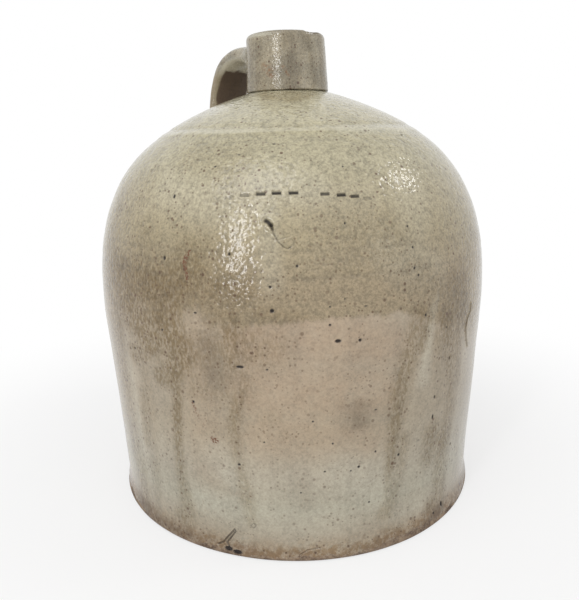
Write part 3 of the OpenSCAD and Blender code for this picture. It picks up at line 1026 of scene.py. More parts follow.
def marked(places, on_skin, marks):
    """How far the marks and the throwing lines lower each place, and how much painted shade they put there.
    """
    lowered, dark = np.zeros(len(places)), np.zeros(len(places))
    lines = line_heights if marks else []
    for mark in marks:
        reach = mark.reach * mark_margin_share
        near = on_skin & (np.linalg.norm(places - np.array(mark.place), axis=1) < reach)
        if near.any():
            hollow, shade = mark.hollow(*mark.flat(places[near]))
            lowered[near] += hollow
            dark[near] = np.maximum(dark[near], shade)
    for z, width, depth, shade in lines:
        ring = on_skin * (1 - smooth(abs(places[:, 2] - z), *shares_of(width, line_fade_shares)))
        lowered, dark = lowered + depth * ring, np.maximum(dark, shade * ring)
    return lowered, dark


def shape(bm, relief, marks=()):
    """Lower the skin by its relief and its marks, swell the foot, and keep what the glaze reads."""
    places = places_of(bm)
    outs = skin_directions(bm, places)
    on_skin = np.linalg.norm(outs, axis=1) > 0
    lowered, dark = marked(places, on_skin, marks)
    over_edge = np.array([p[2] - glaze_edge(p) if p[2] < edge_limit else edge_limit for p in places])
    bare = 1 - np.clip((over_edge + glaze_edge_soft) / (2 * glaze_edge_soft), 0, 1)
    for vert, place, out, low, clay, skinned in zip(bm.verts, places, outs, lowered, bare, on_skin):
        if skinned:
            vert.co += Vector(out) * (relief(place) - low - glaze_edge_proud * clay)
    swell_foot(bm, places)
    for kind in strokes:
        keep(bm, kind, painted(places, kind))
    if marks:
        # Painted shade in the hollows of the marks
        keep(bm, "dark", dark)
        keep(bm, "over_edge", over_edge)
        keep_change(bm, places, on_skin)


def keep_change(bm, places, on_skin):
    """Keep how far each point lies over the change, how far the glaze drips there, and where the ledge's
    paler glaze and painted highlight lie.
    """
    softness = np.array([change_softness(p) for p in places])
    over_change = (places[:, 2] - [change_at(p) for p in places]) / softness
    off_ring = np.hypot(np.hypot(places[:, 0], places[:, 1]) - ring_radius, places[:, 2] - ring_height)
    keep(bm, "over_change", np.where(on_skin, over_change, inside_change))
    keep(bm, "drip", drip_reach * (softness - 1))
    # The ledge's paler glaze and painted highlight
    keep(bm, "ledge_pale_and_highlight", on_skin * (1 - smooth(off_ring, *shares_of(ledge_paint, ledge_paint_shares))))


def swell_foot(bm, places):
    for vert, place in zip(bm.verts, places):
        if place[2] < swell_height:
            vert.co += Vector((place[0], place[1], 0)).normalized() * swell(place)


def piece_of(bm, name, node, material, sharp=body_sharp):
    """Make a shown piece of a bmesh. It stands for a node of the frame."""
    mesh = bpy.data.meshes.new(name)
    bm.to_mesh(mesh)
    bm.free()
    mesh.shade_smooth()
    mesh.set_sharp_from_angle(angle=math.radians(sharp))
    mesh.materials.append(material)
    piece = bpy.data.objects.new(name, mesh)
    bpy.context.scene.collection.objects.link(piece)
    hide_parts(node)
    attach(piece, "root")
    return piece


# Thrown sections


def base_profile():
    edge_radius = wall_radius(0) - foot_edge_round
    under = [Vector((x, 0)) for x in steps_between(0, edge_radius, underside_step)]
    corner = arc((edge_radius, foot_edge_round), foot_edge_round, -90, 0, corner_steps)
    side = [Vector((wall_radius(z), z)) for z in steps_between(foot_edge_round, floor_top, skin_step / 2)]
    floor = [Vector((x, floor_top)) for x in steps_between(corner_line[0].x, 0, inside_step)]
    return skin(under[:-1] + corner + side[1:]) + hidden(base_joint + floor)


def wall_profile():
    return skin(wall_line(skin_step)) + hidden(girth_joint + wall_inside[::-1] + base_joint[::-1])


def dome_profile():
    return skin(dome_line(skin_step)) + hidden(ring_joint + dome_inside[::-1] + girth_joint[::-1])


def top_profile():
    """The top's outside starts with a soft ledge that stands over the dome at the ring."""
    riser = [(ring_point + top_normal * ring_step * rise + top_slope * back, top_normal * rise)
             for rise, back in ledge_riser]
    line = top_line(skin_step)
    count = len(line) - 1
    face = [p + top_normal * ring_step * (1 - i / count) for i, p in enumerate(line)]
    rest = collar_joint + [Vector((bore_radius, collar_height))] + top_inside[::-1] + ring_joint[::-1]
    return riser + skin(face)[riser_points:] + hidden(rest)


def bore_line(low, high):
    return [Vector((bore_radius, z)) for z in steps_between(low, high, bore_step)]


def neck_profile():
    groove = [Vector((neck_root_radius - seam_groove * inward, seam_height + seam_groove * upward))
              for inward, upward in seam_shares]
    low = seam_height + seam_groove * seam_top_share
    side = [Vector((neck_radius(z), z)) for z in steps_between(low, rim_height - lip_round, neck_step)]
    lip = arc((neck_top_radius - lip_round, rim_height - lip_round), lip_round, 0, 90, lip_steps)
    flat = [Vector((x, rim_height))
            for x in steps_between(neck_top_radius - lip_round, bore_radius + mouth_round, neck_step)]
    mouth = arc((bore_radius + mouth_round, rim_height - mouth_round), mouth_round, 90, 180, round_steps)
    bore = bore_line(rim_height - mouth_round, collar_height)
    return skin(groove + side + lip[1:] + flat[1:-1] + mouth) + hidden(bore[1:] + collar_joint[::-1])


def lining_profile():
    clay = [Vector((0, floor_top))] + wall_inside + dome_inside[1:-1] + top_inside[1:-1]
    clay += bore_line(throat_centre.y, rim_height - mouth_round)
    face = [p + left_of(clay, i) * slip_thickness for i, p in enumerate(clay)]
    face[0].x = 0
    return hidden(clay + face[::-1])


def chip_rim(bm):
    """Take the chip out of the rim, and keep where its bare clay shows."""
    layer = bm.verts.layers.float.new("chip")
    height = rim_height + chip_radius - chip_depth
    for turn, radius, rise in chip_bites:
        out = Matrix.Rotation(turn, 3, "Z") @ Vector((0, -(neck_top_radius - lip_round / 2), 0))
        middle = out + Vector((0, 0, height + rise))
        near = [f for f in bm.faces if (f.calc_center_median() - middle).length < radius + bite_margin]
        edges = list(dict.fromkeys(e for f in near for e in f.edges if e.calc_length() > bite_edge))
        bmesh.ops.subdivide_edges(bm, edges=edges, cuts=2, use_grid_fill=True)
        for vert in bm.verts:
            away = vert.co - middle
            reach = radius * (1 + sum(share * noise.noise(vert.co * count) for count, share in bite_waves))
            across = away.xy.length
            if across < reach and away.z < 0:
                floor = middle.z - math.sqrt(reach * reach - across * across)
                vert[layer] = max(vert[layer], clamp((vert.co.z - floor) / bite_paint))
                vert.co.z = min(vert.co.z, floor)
    bmesh.ops.dissolve_degenerate(bm, dist=smallest_edge, edges=bm.edges)


def lean(bm):
    """The neck leans a little, and its lining with it."""
    way = Vector((-camera_right.x, -camera_right.y, 0)).normalized()
    for vert in bm.verts:
        if vert.co.z > seam_height:
            vert.co += way * (neck_lean * (vert.co.z - seam_height) / (rim_height - seam_height))


# Handle

strap_out = handle_reach - strap_end_thickness / 2
strap_top = rim_height - handle_drop
strap_foot = top_height(strap_out) - strap_end_thickness / 2
strap_from = neck_top_radius - lip_round
strap_path = [
    Vector((strap_from, strap_top)),
    Vector((mix(strap_from, strap_out, bend_share), strap_top + handle_rise)),
    Vector((strap_out + strap_end_thickness / 3, mix(strap_top, strap_foot, hang_share))),
    Vector((strap_out, strap_foot)),
]
neck_speed = 3 * (strap_path[1] - strap_path[0])


def signed_power(value, power):
    return math.copysign(abs(value) ** power, value)


def strap_point(side, at):
    """Point on the plain strap. side goes round its section, and at goes from neck, 0, to foot, 1."""
    t = max(at, 0.0)
    a, b, c, d = strap_path
    middle = (1 - t) ** 3 * a + 3 * t * (1 - t) ** 2 * b + 3 * t * t * (1 - t) * c + t ** 3 * d
    along = ((1 - t) ** 2 * (b - a) + 2 * t * (1 - t) * (c - b) + t * t * (d - c)).normalized()
    middle += min(at, 0.0) * neck_speed
    out = Vector((-along.y, along.x))
    angle = 2 * math.pi * side / handle_sides
    width = strap_width / 2 + strap_flare / 2 * abs(2 * t - 1) ** flare_power
    thickness = mix(strap_root_thickness, strap_end_thickness, min(1, t / thinning_share)) / 2
    place = middle + out * thickness * signed_power(math.sin(angle), section_power)
    return Vector((width * signed_power(math.cos(angle), section_power), place.x, place.y))


def neck_gap(p):
    return math.hypot(p.x, p.y) - neck_radius(clamp(p.z, seam_height, rim_height - lip_round))


def top_gap(p):
    return (p.z - top_height(math.hypot(p.x, p.y))) * top_normal.y


def strap_middle(at):
    """Middle of the strap's section."""
    return (strap_point(0, at) + strap_point(handle_sides // 2, at)) / 2


def strap_end(side, gap, outside, inside):
    """Where along the strap a line of its skin is buried by end_bury."""
    for _ in range(end_tries):
        middle = (outside + inside) / 2
        buried = gap(strap_point(side, middle)) < -end_bury
        outside, inside = (outside, middle) if buried else (middle, inside)
    return inside


def handle_relief(p):
    """Flutes drawn by the potter's fingers, and small dents."""
    flutes = flute_depth * (0.5 + 0.5 * math.cos(2 * math.pi * p.x / flute_width))
    return sum(rough(p, *dents) for dents in handle_dents) - flutes


def strap_skin(side, at):
    """Point on the finished strap, and the direction out of it."""
    plain = strap_point(side, at)
    out = (plain - strap_middle(at)).normalized()
    return plain + out * handle_relief(plain), out


def smeared(side, at):
    """Point on the strap's skin, with the soft roll of clay wiped in round its ends."""
    place, out = strap_skin(side, at)
    angle = 2 * math.pi * side / handle_sides
    outer = max(0.0, math.sin(angle))
    wiped = 1 + roll_wander * noise.noise(place * roll_waves)
    if at < 0.5:
        reach = clamp(1 - neck_gap(place) / smear_length)
        smear = root_smear * mix(armpit_share, crown_share, outer)
        way = Vector((math.cos(angle), 0, math.sin(angle)))
    else:
        reach = clamp(1 - top_gap(place) / smear_length)
        smear = mix(root_smear, tail_length, outer)
        way = Vector((math.cos(angle), -top_slope.x * math.sin(angle), -top_slope.y * math.sin(angle)))
    return place + way * (smear * wiped * (1 - math.sqrt(1 - reach ** 2))), out


def lofted(rows):
    """A tube through rows of points: a ring of edges that is extruded from row to row."""
    bm = bmesh.new()
    order = bm.verts.layers.int.new("order")
    ring = bmesh.ops.create_circle(bm, segments=len(rows[0]), radius=1)["verts"]
    for i, vert in enumerate(ring):
        vert[order] = i
        vert.co = rows[0][i]
    edges = list(bm.edges)
    for row in rows[1:]:
        made = bmesh.ops.extrude_edge_only(bm, edges=edges)["geom"]
        edges = [g for g in made if isinstance(g, bmesh.types.BMEdge)]
        for vert in (g for g in made if isinstance(g, bmesh.types.BMVert)):
            vert.co = row[vert[order]]
    return bm


def inner_share(side):
    """1 on the strap's inner face, 0 on its outer one."""
    return clamp(0.5 - 0.5 * math.sin(2 * math.pi * side / handle_sides))


def handle_layers(bm):
    """Keep which face of the strap each point is on."""
    order = bm.verts.layers.int["order"]
    inner = bm.verts.layers.float.new("inner")
    for vert in bm.verts:
        vert[inner] = inner_share(vert[order])
    bm.verts.layers.int.remove(order)
    bmesh.ops.recalc_face_normals(bm, faces=bm.faces)


def handle_spans():
    """Where each line along the strap goes into the neck and into the shoulder."""
    return [(strap_end(side, neck_gap, *neck_search), strap_end(side, top_gap, *foot_search))
            for side in range(handle_sides)]


def strap_mesh():
    spans = handle_spans()
    bm = lofted([[strap_skin(side, mix(*spans[side], r / strap_rows))[0] for side in range(handle_sides)]
                 for r in range(strap_rows + 1)])
    bmesh.ops.holes_fill(bm, edges=[e for e in bm.edges if e.is_boundary], sides=0)
    handle_layers(bm)
    return bm


def roll_mesh(end):
    """A sleeve of wiped clay round an end of the strap, 0 at the neck: out on its face, back inside it."""
    spans = handle_spans()
    outside, inside = [], []
    for r in range(roll_rows + 1):
        outside.append([])
        inside.append([])
        for side in range(handle_sides):
            at = mix(spans[side][end], roll_far[end], r / roll_rows)
            place, out = smeared(side, at)
            outside[-1].append(place - out * mix(-roll_proud, roll_sink, (r / roll_rows) ** roll_sink_power))
            inside[-1].append(strap_skin(side, at)[0] - out * roll_inside)
    bm = lofted(outside + inside[::-1])
    bmesh.ops.bridge_loops(bm, edges=[e for e in bm.edges if e.is_boundary])
    handle_layers(bm)
    return bm


# Materials


def linear(red, green, blue):
    """A colour as the eye names it, 0 to 255, made linear for the shader."""
    def one(value):
        share = value / 255
        return share / 12.92 if share <= 0.04045 else ((share + 0.055) / 1.055) ** 2.4

    return one(red), one(green), one(blue), 1.0


class Shading:
    """Adds shader nodes to a tree. A value is a number, a colour or another node's socket."""

    def __init__(self, tree):
        self.tree = tree

    def node(self, kind, inputs=None, **settings):
        made = self.tree.nodes.new(kind)
        for name, value in settings.items():
            setattr(made, name, value)
        for name, value in (inputs or {}).items():
            self.wire(made.inputs[name], value)
        return made

    def wire(self, socket, value):
        if isinstance(value, bpy.types.NodeSocket):
            self.tree.links.new(value, socket)
        else:
            socket.default_value = value

    def math(self, operation, *values, clamped=False):
        made = self.node("ShaderNodeMath", operation=operation, use_clamp=clamped)
        for socket, value in zip(made.inputs, values):
            self.wire(socket, value)
        return made.outputs[0]

    def times(self, first, *others):
        for other in others:
            first = self.math("MULTIPLY", first, other)
        return first

    def plus(self, first, *others):
        for other in others:
            first = self.math("ADD", first, other)
        return first

    def less(self, value, taken):
        return self.math("SUBTRACT", value, taken)

    def most(self, a, b, clamped=False):
        return self.math("MAXIMUM", a, b, clamped=clamped)

    def scaled(self, value, factor, start):
        return self.math("MULTIPLY_ADD", value, factor, start)

    def blend(self, share, a, b, mode="MIX"):
        made = self.node("ShaderNodeMix", data_type="RGBA", blend_type=mode, clamp_factor=True)
        for index, value in ((0, share), (6, a), (7, b)):
            self.wire(made.inputs[index], value)
        return made.outputs[2]

    def tint(self, share, colour, tint):
        """Multiply a colour by a tint."""
        return self.blend(share, colour, tint, "MULTIPLY")

    def grey(self, value):
        return self.node("ShaderNodeCombineColor", {"Red": value, "Green": value, "Blue": value}).outputs[0]

    def step(self, value, low, high, start=0.0, end=1.0):
        inputs = {"Value": value, "From Min": low, "From Max": high, "To Min": start, "To Max": end}
        made = self.node("ShaderNodeMapRange", inputs, interpolation_type="SMOOTHSTEP")
        return made.outputs["Result"]

    def per(self, size):
        """Scale of a texture whose features have this size."""
        return self.math("DIVIDE", 1.0, size) if isinstance(size, bpy.types.NodeSocket) else 1 / size

    def noise(self, vector, size, detail=2.0, roughness=0.5):
        inputs = {"Vector": vector, "Scale": self.per(size), "Detail": detail, "Roughness": roughness}
        return self.node("ShaderNodeTexNoise", inputs).outputs["Fac"]

    def wander(self, vector, size, detail=2.0):
        """A noise on both sides of zero."""
        return self.less(self.noise(vector, size, detail), 0.5)

    def cells(self, vector, size, feature="F1"):
        return self.node("ShaderNodeTexVoronoi", {"Vector": vector, "Scale": self.per(size)}, feature=feature)

    def split(self, vector):
        return self.node("ShaderNodeSeparateXYZ", {"Vector": vector}).outputs

    def stretched(self, vector, scale):
        return self.node("ShaderNodeMapping", {"Vector": vector, "Scale": scale}).outputs[0]

    def place(self, turn=0.0):
        """Object coordinates, turned about the jug's axis."""
        coords = self.node("ShaderNodeTexCoord").outputs["Object"]
        return self.node("ShaderNodeMapping", {"Vector": coords, "Rotation": (0, 0, turn)}).outputs[0]

    def kept(self, name):
        return self.node("ShaderNodeAttribute", attribute_name=name).outputs["Fac"]

    def group(self, tree, **inputs):
        made = self.node("ShaderNodeGroup")
        made.node_tree = tree
        for name, value in inputs.items():
            self.wire(made.inputs[name.replace("_", " ").capitalize()], value)
        return made.outputs


def new_group(name, inputs, outputs):
    """A node group with named sockets, and the socket that each output takes."""
    tree = bpy.data.node_groups.new(name, "ShaderNodeTree")
    kinds = {"vector": "NodeSocketVector", "value": "NodeSocketFloat"}
    for label, kind in inputs:
        tree.interface.new_socket(label, in_out="INPUT", socket_type=kinds[kind])
    for label, kind in outputs:
        tree.interface.new_socket(label, in_out="OUTPUT", socket_type=kinds[kind])
    given = tree.nodes.new("NodeGroupInput").outputs
    taken = tree.nodes.new("NodeGroupOutput").inputs
    return tree, Shading(tree), given, taken


def orange_peel_group():
    """The pebbled skin of salt glaze: beads that run together, with fine grain between."""
    tree, s, given, taken = new_group(
        "orange_peel", [("Place", "vector"), ("Size", "value")], [("Height", "value"), ("Hollows", "value")])
    bent = s.noise(given["Place"], s.times(given["Size"], 2.2), 1.0)
    beads = s.cells(given["Place"], given["Size"], "SMOOTH_F1").outputs["Distance"]
    fine = s.noise(given["Place"], s.times(given["Size"], 0.55))
    height = s.plus(s.times(beads, -0.75), s.times(fine, 0.22), s.times(bent, 0.75))
    tree.links.new(height, taken["Height"])
    tree.links.new(s.step(height, 0.31, -0.08), taken["Hollows"])
    return tree


def specks_group():
    """Iron specks that melted through the glaze, each a round spot in a cell of its own."""
    tree, s, given, taken = new_group(
        "iron_specks", [("Place", "vector"), ("Spacing", "value"), ("Width", "value"), ("Share", "value")],
        [("Mask", "value")])
    cells = s.cells(given["Place"], given["Spacing"])
    chance = s.node("ShaderNodeSeparateColor", {"Color": cells.outputs["Color"]}).outputs
    chosen = s.math("LESS_THAN", chance["Red"], given["Share"])
    reach = s.times(given["Width"], s.plus(0.5, chance["Green"]))
    spot = s.step(cells.outputs["Distance"], reach, s.times(reach, 0.45))
    tree.links.new(s.times(spot, chosen), taken["Mask"])
    return tree


def clouds_group():
    """Soft clouds of light and dark."""
    tree, s, given, taken = new_group("clouds", [("Place", "vector"), ("Size", "value")], [("Mask", "value")])
    tree.links.new(s.step(s.noise(given["Place"], given["Size"], 3.0), *soft_patches), taken["Mask"])
    return tree


def grain_group():
    """Fine grain, from the darkest to the lightest shade."""
    tree, s, given, taken = new_group(
        "fine_grain", [("Place", "vector"), ("Darkest", "value"), ("Lightest", "value")],
        [("Shade", "value")])
    grain = s.noise(given["Place"], grain_size, 3.0, 0.75)
    tree.links.new(s.step(grain, 0.34, 0.66, given["Darkest"], given["Lightest"]), taken["Shade"])
    return tree


orange_peel, iron_specks = orange_peel_group(), specks_group()
soft_clouds, fine_grain = clouds_group(), grain_group()


def glaze_material(name):
    material = bpy.data.materials.new(name)
    material.use_nodes = True
    tree = material.node_tree
    return material, Shading(tree), tree.nodes["Principled BSDF"]


def band_colour(s, height, stops):
    """A colour that changes with the height, through stops of (height, colour)."""
    ramp = s.node("ShaderNodeValToRGB", {"Fac": s.math("DIVIDE", height, colours_top)})
    elements = ramp.color_ramp.elements
    for element, (at, colour) in zip(list(elements), (stops[0], stops[-1])):
        element.position = at / colours_top
        element.color = linear(*colour)
    for at, colour in stops[1:-1]:
        elements.new(at / colours_top).color = linear(*colour)
    return ramp.outputs["Color"]


def specked(s, colour, place, specks, crowd=1.0):
    """Scatter iron specks over a colour, as strong as crowd says."""
    for spacing, width, share, strength in specks:
        dots = s.group(iron_specks, place=place, spacing=spacing, width=width, share=share)
        colour = s.blend(s.times(dots["Mask"], strength, crowd), colour, linear(*speck_colour))
    return colour


# Salt glaze of the body, and the foot that it leaves bare


def thick_glaze(s, place):
    """1 above the change in the glaze and 0 below it, with a frayed edge and drips that reach down."""
    fray = s.times(s.wander(s.stretched(place, (1, 1, 0.3)), fray_size, 3.0), fray_reach)
    drips = s.times(s.wander(s.stretched(place, (1, 1, 0.05)), drip_size), s.kept("drip"))
    over = s.plus(s.kept("over_change"), s.plus(fray, drips))
    return s.step(over, *change_edge)


def fired(s, colour, place, height, thin):
    """Colour that the fire left, with painted shade among the runs and painted highlights among the pale
    strokes: where the photograph shows it, and loosely on the far side.
    """
    turned = s.split(s.place(-side_turn))
    side = s.math("ARCTAN2", turned["Y"], turned["X"])
    behind = s.step(s.math("ABSOLUTE", side), *far_side)
    ragged = s.step(s.noise(place, ragged_size, 4.0, 0.6), *soft_patches, 0.75, 1.15)
    patches = s.step(s.noise(s.stretched(place, (1, 1, 0.6)), blush_size), 0.42, 0.62)
    blush = s.times(s.most(s.kept("blush"), s.times(patches, behind)), thin, ragged)
    colour = s.tint(s.times(blush, 0.8), colour, linear(*blush_tint))
    # Paler glaze, and painted highlights and glare
    colour = s.blend(s.times(s.kept("pale"), 0.45), colour, linear(*pale_and_highlight_colour))
    loose = s.step(s.noise(s.stretched(place, (1, 1, 0.09)), loose_size, 1.5), 0.56, 0.74)
    loose = s.times(loose, s.step(height, *loose_heights), behind, 0.7)
    grained = s.noise(s.stretched(place, (1, 1, 0.5)), run_grain_size, 3.0, 0.7)
    grained = s.step(grained, 0.32, 0.64, 0.35, 1.35)
    # Glaze runs, and painted shade where the top meets the neck and in the crease over the ring
    runs_and_shade = s.times(s.most(s.kept("run_and_shade"), loose), grained)
    colour = s.tint(s.times(runs_and_shade, 0.85), colour, linear(*run_and_shade_colour))
    return s.tint(s.times(s.kept("smoke_and_dark_band"), ragged), colour, linear(*smoke_and_dark_band_tint))


def skin_shade(s, place, thick, thin, fine, coarse, high_up):
    """Light and dark of clouds, faint upright streaks, painted shade in the hollows of the orange peel, and
    the grain.
    """
    clouds = s.scaled(s.group(soft_clouds, place=place, size=body_clouds)["Mask"], 0.08, 0.96)
    streaks = s.step(s.noise(s.stretched(place, (1, 1, 0.1)), streak_size), *soft_patches, -0.05, 0.05)
    shade = s.plus(clouds, s.times(streaks, thin))
    # Painted shade in the hollows of the orange peel
    shade = s.less(shade, s.times(fine["Hollows"], s.scaled(thick, 0.08, 0.12)))
    shade = s.less(shade, s.times(coarse["Hollows"], high_up, 0.09))
    grain = s.group(fine_grain, place=place, darkest=-0.17, lightest=0.14)["Shade"]
    return s.plus(shade, s.times(grain, s.scaled(thick, 0.5, 0.6)))


def body_crowd(s, place, thick):
    """How strong the specks are: in patches, less below the change, and most in the runs and the painted
    shade among them, and at the foot.
    """
    crowd = s.step(s.noise(place, crowd_size, 3.0), 0.35, 0.62, 0.3, 1.0)
    crowd = s.times(crowd, s.scaled(thick, 0.35, 0.65))
    crowd = s.most(crowd, s.scaled(s.kept("run_and_shade"), 1.1, 0.35), clamped=True)
    return s.most(crowd, s.step(s.kept("over_edge"), *crowd_heights))


def ledge_highlight_and_rust(s, colour, place):
    """Paler glaze with a painted highlight on the ledge at the ring, and broken spots of rust."""
    # Paler glaze and a painted highlight along the ledge, in patches
    patchy = s.step(s.noise(place, ledge_patch_size, 3.0), *clear_patches, 0.1, 0.5)
    colour = s.blend(s.times(s.kept("ledge_pale_and_highlight"), patchy), colour, linear(*ledge_pale_and_highlight_colour))
    broken = s.step(s.noise(place, broken_size, 2.0, 0.7), 0.42, 0.56)
    rusted = s.times(s.step(s.kept("rust"), 0.1, 0.6, 0.0, 0.9), broken)
    return s.blend(rusted, colour, linear(*rust_colour))


def bare_foot(s, colour, place, height, over_edge, bare):
    """Glaze toasted above its edge over the foot, and the flaked clay below it."""
    flaked = s.step(s.noise(place, flake_size, 4.0, 0.75), 0.36, 0.62, 0.3, 1.3)
    colour = s.tint(s.times(s.step(over_edge, toast_reach, 0.0), flaked), colour, linear(*toast_colour))
    mottled = s.step(s.noise(place, mottle_size, 4.0, 0.65), *clear_patches)
    clay = s.blend(mottled, linear(*clay_dark), linear(*clay_light))
    clay = s.blend(s.step(s.noise(place, ash_size), 0.45, 0.7, 0.0, 0.6), clay, linear(*clay_ash))
    clay = s.blend(s.step(height, *floor_line, 0.0, 0.35), clay, linear(*clay_dark))
    return s.blend(s.times(bare, 0.85), colour, clay)


def body_material():
    material, s, shader = glaze_material("body_salt_glaze")
    place = s.place()
    height = s.split(place)["Z"]
    thick = thick_glaze(s, place)
    thin = s.less(1.0, thick)
    fine = s.group(orange_peel, place=place, size=peel_size)
    coarse = s.group(orange_peel, place=place, size=peel_size * coarse_peel)
    high_up = s.step(height, *coarse_from)
    over_edge = s.plus(s.kept("over_edge"), s.times(s.wander(place, foot_wave_size, 3.0), foot_wave_reach))
    bare = s.step(over_edge, *bare_edge)
    dark = s.kept("dark")
    colour = s.blend(thick, band_colour(s, height, wall_colours), band_colour(s, height, dome_colours))
    colour = fired(s, colour, place, height, thin)
    colour = s.tint(1.0, colour, s.grey(skin_shade(s, place, thick, thin, fine, coarse, high_up)))
    colour = specked(s, colour, place, body_specks, body_crowd(s, place, thick))
    colour = ledge_highlight_and_rust(s, colour, place)
    colour = bare_foot(s, colour, place, height, over_edge, bare)
    # Painted shade in the pits, dashes, grooves and throwing lines
    colour = s.blend(s.times(dark, 0.93), colour, linear(*pit_colour))
    s.wire(shader.inputs["Base Color"], colour)
    gloss = s.plus(s.scaled(s.noise(place, body_gloss_size), 0.08, 0.06), s.times(thin, 0.1))
    s.wire(shader.inputs["Roughness"], s.most(gloss, s.times(s.most(bare, dark), 0.85)))
    high = s.times(fine["Height"], s.scaled(thick, 0.65, 0.35))
    high = s.plus(high, s.times(coarse["Height"], high_up, 1.2))
    high = s.plus(high, s.times(s.noise(place, clay_grain_size, 3.0, 0.7), bare, 4.0))
    bump = s.node("ShaderNodeBump", {"Height": high, "Strength": 1.0, "Distance": peel_depth})
    s.wire(shader.inputs["Normal"], bump.outputs[0])
    return material


# Greyer, streaked salt glaze of the neck and the handle


def streaked_glaze(s, place, tint, streak, peel, grain):
    clouds = s.group(soft_clouds, place=place, size=neck_clouds)["Mask"]
    colour = s.blend(clouds, linear(*tint), linear(*[t * 0.84 for t in tint]))
    bands = s.step(s.noise(s.stretched(place, streak), neck_streaks, 3.0), *clear_patches)
    colour = s.tint(s.times(bands, 0.4), colour, linear(*neck_dark))
    # Painted shade in the hollows of the orange peel
    colour = s.tint(s.times(peel["Hollows"], 0.25), colour, linear(*neck_dark))
    colour = specked(s, colour, place, neck_specks)
    return s.tint(1.0, colour, grain)


def finish_streaked(s, shader, place, colour, bare, peel, depth):
    """Wire the colour, the uneven gloss and the peel, whose depth is a share of the body's."""
    s.wire(shader.inputs["Base Color"], colour)
    gloss = s.step(s.noise(place, neck_gloss_size, 3.0, 0.6), 0.44, 0.6, 0.09, 0.34)
    s.wire(shader.inputs["Roughness"], s.most(gloss, s.times(bare, 0.75)))
    bump = s.node("ShaderNodeBump", {"Height": peel["Height"], "Distance": peel_depth * depth})
    s.wire(shader.inputs["Normal"], bump.outputs[0])


def streaked_parts(name):
    """A material, its nodes and shader, and the place, the peel and the grain that it starts from."""
    material, s, shader = glaze_material(name)
    place = s.place()
    peel = s.group(orange_peel, place=place, size=peel_size * neck_peel)
    grain = s.grey(s.group(fine_grain, place=place, darkest=0.8, lightest=1.18)["Shade"])
    return material, s, shader, place, peel, grain


def neck_material():
    """With a worn lip and a painted highlight on it, smoke, a darker band down the middle, rust, painted
    shade in the groove at the root and the bare clay of the chip.
    """
    material, s, shader, place, peel, grain = streaked_parts("neck_salt_glaze")
    height = s.split(place)["Z"]
    colour = streaked_glaze(s, place, neck_colour, (1, 1, 0.1), peel, grain)
    # Painted highlight on the rounded lip
    colour = s.blend(s.kept("pale"), colour, linear(*lip_highlight_colour))
    top = s.step(height, *(rim_height - depth for depth in lip_worn))
    patchy = s.step(s.noise(place, lip_patches, 4.0, 0.65), *clear_patches, 0.35, 0.85)
    colour = s.blend(s.times(top, patchy), colour, linear(*lip_top_colour))
    colour = s.tint(s.times(top, 0.8), colour, grain)
    # Smoke, and a darker band down the middle of the neck
    colour = s.tint(s.kept("smoke_and_dark_band"), colour, linear(*smoke_and_dark_band_tint))
    rusted = s.times(s.kept("rust"), s.step(s.noise(place, neck_rust_size, 3.0), 0.42, 0.58, 0.1, 0.9))
    colour = s.blend(rusted, colour, linear(*neck_rust))
    # Painted shade in the groove at the neck's root
    root = s.step(height, seam_height + root_line, seam_height)
    root = s.times(root, s.step(s.noise(place, root_patches), 0.4, 0.6, 0.05, 0.4))
    colour = s.blend(root, colour, linear(*pit_colour))
    chipped = s.step(s.kept("chip"), 0.0, 0.4)
    colour = s.blend(chipped, colour, linear(*chip_colour))
    finish_streaked(s, shader, place, colour, s.most(chipped, s.times(top, 0.7)), peel, neck_depth)
    return material


def handle_material():
    """Painted light on the inner face under the crown of the strap, where the neck shades it, and bare low on
    that face, below a ragged edge.
    """
    material, s, shader, place, peel, grain = streaked_parts("handle_salt_glaze")
    height = s.split(place)["Z"]
    inner = s.kept("inner")
    colour = streaked_glaze(s, place, handle_colour, (0.5, 1, 1), peel, grain)
    # Painted light on the inner face, which the neck shades
    colour = s.blend(s.step(inner, 0.55, 0.8), colour, linear(*inner_painted_light))
    low = s.times(s.step(height, *(inner_bare_height + rise for rise in inner_change)), 0.85)
    colour = s.blend(s.times(low, s.step(inner, 0.0, 0.15)), colour, linear(*edge_colour))
    bare = s.step(s.plus(inner, s.times(s.wander(place, inner_patches, 3.0), 0.22)), 0.79, 0.85)
    lowest = inner_bare_height - inner_wave_reach / 2
    wave = s.scaled(s.noise(place, inner_wave_size), inner_wave_reach, lowest)
    bare = s.times(bare, s.step(s.less(height, wave), inner_wave_soft, -inner_wave_soft))
    colour = s.blend(bare, colour, linear(*inner_colour))
    finish_streaked(s, shader, place, colour, bare, peel, handle_depth)
    return material


def slip_material():
    material, s, shader = glaze_material("brown_slip_glaze")
    place = s.place()
    clouds = s.group(soft_clouds, place=place, size=slip_clouds)["Mask"]
    s.wire(shader.inputs["Base Color"], s.blend(clouds, linear(*slip_light), linear(*slip_dark)))
    s.wire(shader.inputs["Roughness"], s.scaled(s.noise(place, slip_gloss_size), 0.2, 0.15))
    return material


# Pieces


def make_body():
    """The four sections under one glaze. The ones that reach the jug's axis have an open profile."""
    marks = jug_marks()
    sections = [
        ("fired_base", "base_slab", base_profile(), False, base_relief, "bare_clay"),
        ("fired_wall", "lower_wall", wall_profile(), True, body_relief, "body_glaze"),
        ("fired_dome", "shoulder_dome", dome_profile(), True, body_relief, "body_glaze"),
        ("fired_top", "shoulder_top", top_profile(), True, top_relief, "body_glaze"),
    ]
    glaze = body_material()
    for name, node, profile, closed, relief, slot in sections:
        section = spun(profile, body_sides, closed)
        refine(section, marks)
        shape(section, relief, marks)
        piece_of(section, name, node, glaze)


def make_neck():
    neck = spun(neck_profile(), neck_sides)
    shape(neck, neck_relief)
    chip_rim(neck)
    lean(neck)
    piece_of(neck, "fired_neck", "neck_collar", neck_material(), neck_sharp)


